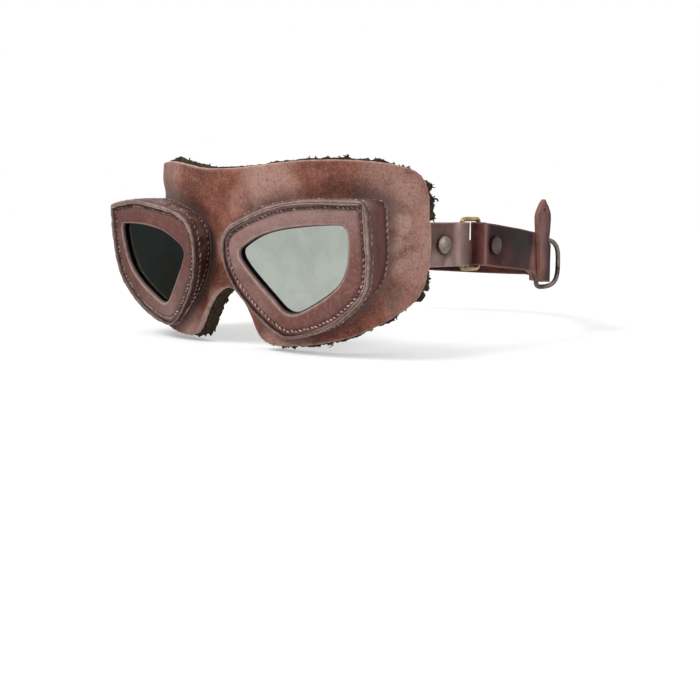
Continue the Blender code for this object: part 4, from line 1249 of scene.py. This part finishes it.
# Cap of a rivet from its seat to its crown: radius and height, in millimetres
DOME_PROFILE = (
    (3.30, 0.02), (4.05, 0.02), (4.10, 0.28), (3.98, 0.50), (3.72, 0.58), (3.62, 0.60), (3.40, 0.86),
    (2.90, 1.22), (2.20, 1.52), (1.30, 1.74), (0.50, 1.82), (0.02, 1.84),
)
FLAT_PROFILE = (
    (3.30, 0.02), (4.05, 0.02), (4.10, 0.30), (3.92, 0.52), (3.60, 0.58), (3.30, 0.52), (2.90, 0.50),
    (1.80, 0.62), (0.60, 0.68), (0.02, 0.68),
)
BURR_PROFILE = (
    (2.00, 0.02), (3.72, 0.02), (3.80, 0.25), (3.62, 0.62), (3.10, 0.95), (2.30, 1.10), (1.50, 1.02),
    (1.15, 1.22), (0.60, 1.45), (0.02, 1.52),
)


def rivet_seat(node):
    """Middle of a rivet's seat on the leather, and the way its cap faces."""
    shape = cad_shape(node)
    sides = {}
    for face in shape.faces:
        sides.setdefault(tuple(round(c, 1) for c in face.normal), []).append(face)
    seat = max(sides.values(), key=lambda faces: sum(f.calc_area() for f in faces))
    widest = max(seat, key=lambda f: f.calc_area())
    facing = -widest.normal
    area = sum(f.calc_area() for f in seat)
    middle = sum((f.calc_center_median() * f.calc_area() for f in seat), Vector()) / area
    middle += facing * (widest.verts[0].co - middle).dot(facing)
    shape.free()
    return middle, facing.normalized()


def make_rivet(node, name, body, material, profile):
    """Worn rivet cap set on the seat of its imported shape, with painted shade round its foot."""
    middle, facing = rivet_seat(node)
    piece = turned(name, [(radius * MM, height * MM) for radius, height in profile])
    seed = Vector((middle.x, middle.y, 0.0)) * 90.0
    gap = []
    for v in piece.data.vertices:
        # Painted shade: near-black round the foot of the cap
        gap.append(0.85 * ease((v.co.xy.length - 3.45 * MM) / (0.35 * MM)))
        v.co.z = max(0.02 * MM, v.co.z + noise.noise(v.co * 700.0 + seed) * 0.10 * MM)
    write_marks(piece, gap=gap)
    piece.data.transform(Matrix.Translation(middle) @ upright(facing))
    smooth(piece, 45.0)
    return dress(piece, material, body, "rivet_metal", node)


def make_wire(node, name, body, slot, material, radius):
    """Ring of wire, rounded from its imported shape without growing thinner."""
    piece = cad_copy(node, name)
    finish_with(piece, "SUBSURF", levels=2, render_levels=2)
    finish_with(piece, "DISPLACE", strength=0.09 * radius, mid_level=0.0)
    smooth(piece, 60.0)
    return dress(piece, material, body, slot, node)


# Studio

def add_light(name, place, target, size, energy):
    lamp = bpy.data.lights.new(name, "AREA")
    lamp.shape = "RECTANGLE"
    lamp.size, lamp.size_y = size
    lamp.energy = energy
    holder = linked(name, lamp)
    holder.location = place
    holder.rotation_euler = (Vector(target) - Vector(place)).to_track_quat("-Z", "Y").to_euler()


def make_floor(low):
    """Pale floor that keeps the goggles' shadow and runs out to white."""
    floor = added(bpy.ops.mesh.primitive_plane_add, "floor", size=8.0, location=(0.0, 0.0, low))
    bpy.ops.object.transform_apply(location=True)
    finish = Finish("pale_floor")
    apart = finish.add("ShaderNodeVectorMath", {0: finish.place}, operation="LENGTH")
    far = finish.spread(apart.outputs["Value"], 0.16, 0.42)
    seen = finish.seen_directly()
    glow = finish.maths("MULTIPLY", seen, finish.spread(far, 0.0, 1.0, FLOOR_GLOW, 1.0))
    colour = finish.blend(finish.maths("MULTIPLY", seen, far), (0.84, 0.84, 0.84), (0.0, 0.0, 0.0))
    floor.data.materials.append(finish.done({
        "Base Color": colour, "Roughness": 0.9, "Specular IOR Level": 0.1,
        "Emission Color": (1.0, 1.0, 1.0), "Emission Strength": glow}))
    floor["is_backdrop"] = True


def make_surroundings():
    world = bpy.data.worlds.new("white_surroundings")
    bpy.context.scene.world = world
    world.use_nodes = True
    graph = Graph(world.node_tree)
    level = graph.spread(graph.seen_directly(), 0.0, 1.0, WORLD_LEVEL, 1.0)
    graph.feed(world.node_tree.nodes["Background"], {"Color": (1.0, 1.0, 1.0), "Strength": level})


def make_card():
    """Dark card that only shiny things show, in front of the right lens."""
    card = added(bpy.ops.mesh.primitive_plane_add, "dark_card", size=1.0)
    card.data.transform(
        Matrix.Translation(CARD_MIDDLE) @ upright(Vector(CARD_FACING).normalized())
        @ Matrix.Diagonal((*CARD_SIZE, 1.0, 1.0)))
    finish = Finish("dark_card")
    haze = finish.spread(finish.noise(24.0, 3.0), 0.38, 0.62)
    haze = finish.blend(haze, (0.045, 0.041, 0.038), (0.050, 0.058, 0.060))
    card.data.materials.append(finish.done({
        "Base Color": (0.0, 0.0, 0.0), "Roughness": 1.0, "Specular IOR Level": 0.0,
        "Emission Color": haze, "Emission Strength": 1.0}))
    for ray in ("camera", "diffuse", "shadow", "transmission"):
        setattr(card, "visible_" + ray, False)
    card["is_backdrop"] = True


def make_camera():
    camera = bpy.data.cameras.new("camera")
    camera.lens = CAMERA_LENS
    camera.sensor_width = CAMERA_SENSOR
    camera.clip_start = 0.01
    holder = linked("camera", camera)
    right = Vector((math.cos(CAMERA_AZIMUTH), math.sin(CAMERA_AZIMUTH), 0.0))
    back = Vector((
        math.sin(CAMERA_AZIMUTH) * math.cos(CAMERA_RISE), -math.cos(CAMERA_AZIMUTH) * math.cos(CAMERA_RISE),
        math.sin(CAMERA_RISE)))
    up = back.cross(right)
    place = back * CAMERA_DISTANCE - right * CAMERA_SIDE - up * CAMERA_DROP
    holder.matrix_world = Matrix.Translation(place) @ Matrix((right, up, back)).transposed().to_4x4()
    bpy.context.scene.camera = holder
    bpy.context.scene.view_settings.view_transform = "Standard"


def make_studio():
    """Floor at the lowest place of the dressed goggles, white surroundings, soft lamps, camera."""
    make_floor(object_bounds()[0][2] - 0.2 * MM)
    make_surroundings()
    make_card()
    for name, settings in LAMPS.items():
        add_light(name, *settings)
    make_camera()


feet = make_cup(1) + make_cup(-1)
make_mask(feet)
lining = make_lining()
make_locks("rim_locks", lining, at_rim, RIM_CURLS)
make_locks("inner_locks", lining, at_back, INNER_CURLS)
for hand in ("left", "right"):
    make_strap(
        hand + "_strap_tab", hand + "_tab_leather", tab_leather, "goggle_front", TAB_WARM, TAB_PALE, TAB_BEND,
        (hand + "_tab_rivet", hand + "_tab_rivet_back"))
    make_strap(
        hand + "_rear_strap", hand + "_strap_band", strap_leather, hand + "_strap", STRAP_WARM, STRAP_PALE,
        STRAP_BEND, (hand + "_strap_rivet", hand + "_strap_rivet_back"))
    for node, name, body, material, profile in (
            ("_tab_rivet", "_tab_dome", "goggle_front", pewter, DOME_PROFILE),
            ("_tab_rivet_back", "_tab_burr", "goggle_front", dark_pewter, BURR_PROFILE),
            ("_strap_rivet", "_strap_cap", hand + "_strap", dark_pewter, FLAT_PROFILE),
            ("_strap_rivet_back", "_strap_burr", hand + "_strap", dark_pewter, BURR_PROFILE)):
        make_rivet(hand + node, hand + name, body, material, profile)
    make_wire(hand + "_square_ring", hand + "_square_loop", hand + "_ring", "ring_brass", antique_brass, 1.0 * MM)
make_wire("back_ring", "back_loop", "back_ring", "dark_bronze", dark_bronze, 2.8 * MM)
for pattern in (one_stitch, one_lock):
    bpy.data.objects.remove(pattern)
make_studio()
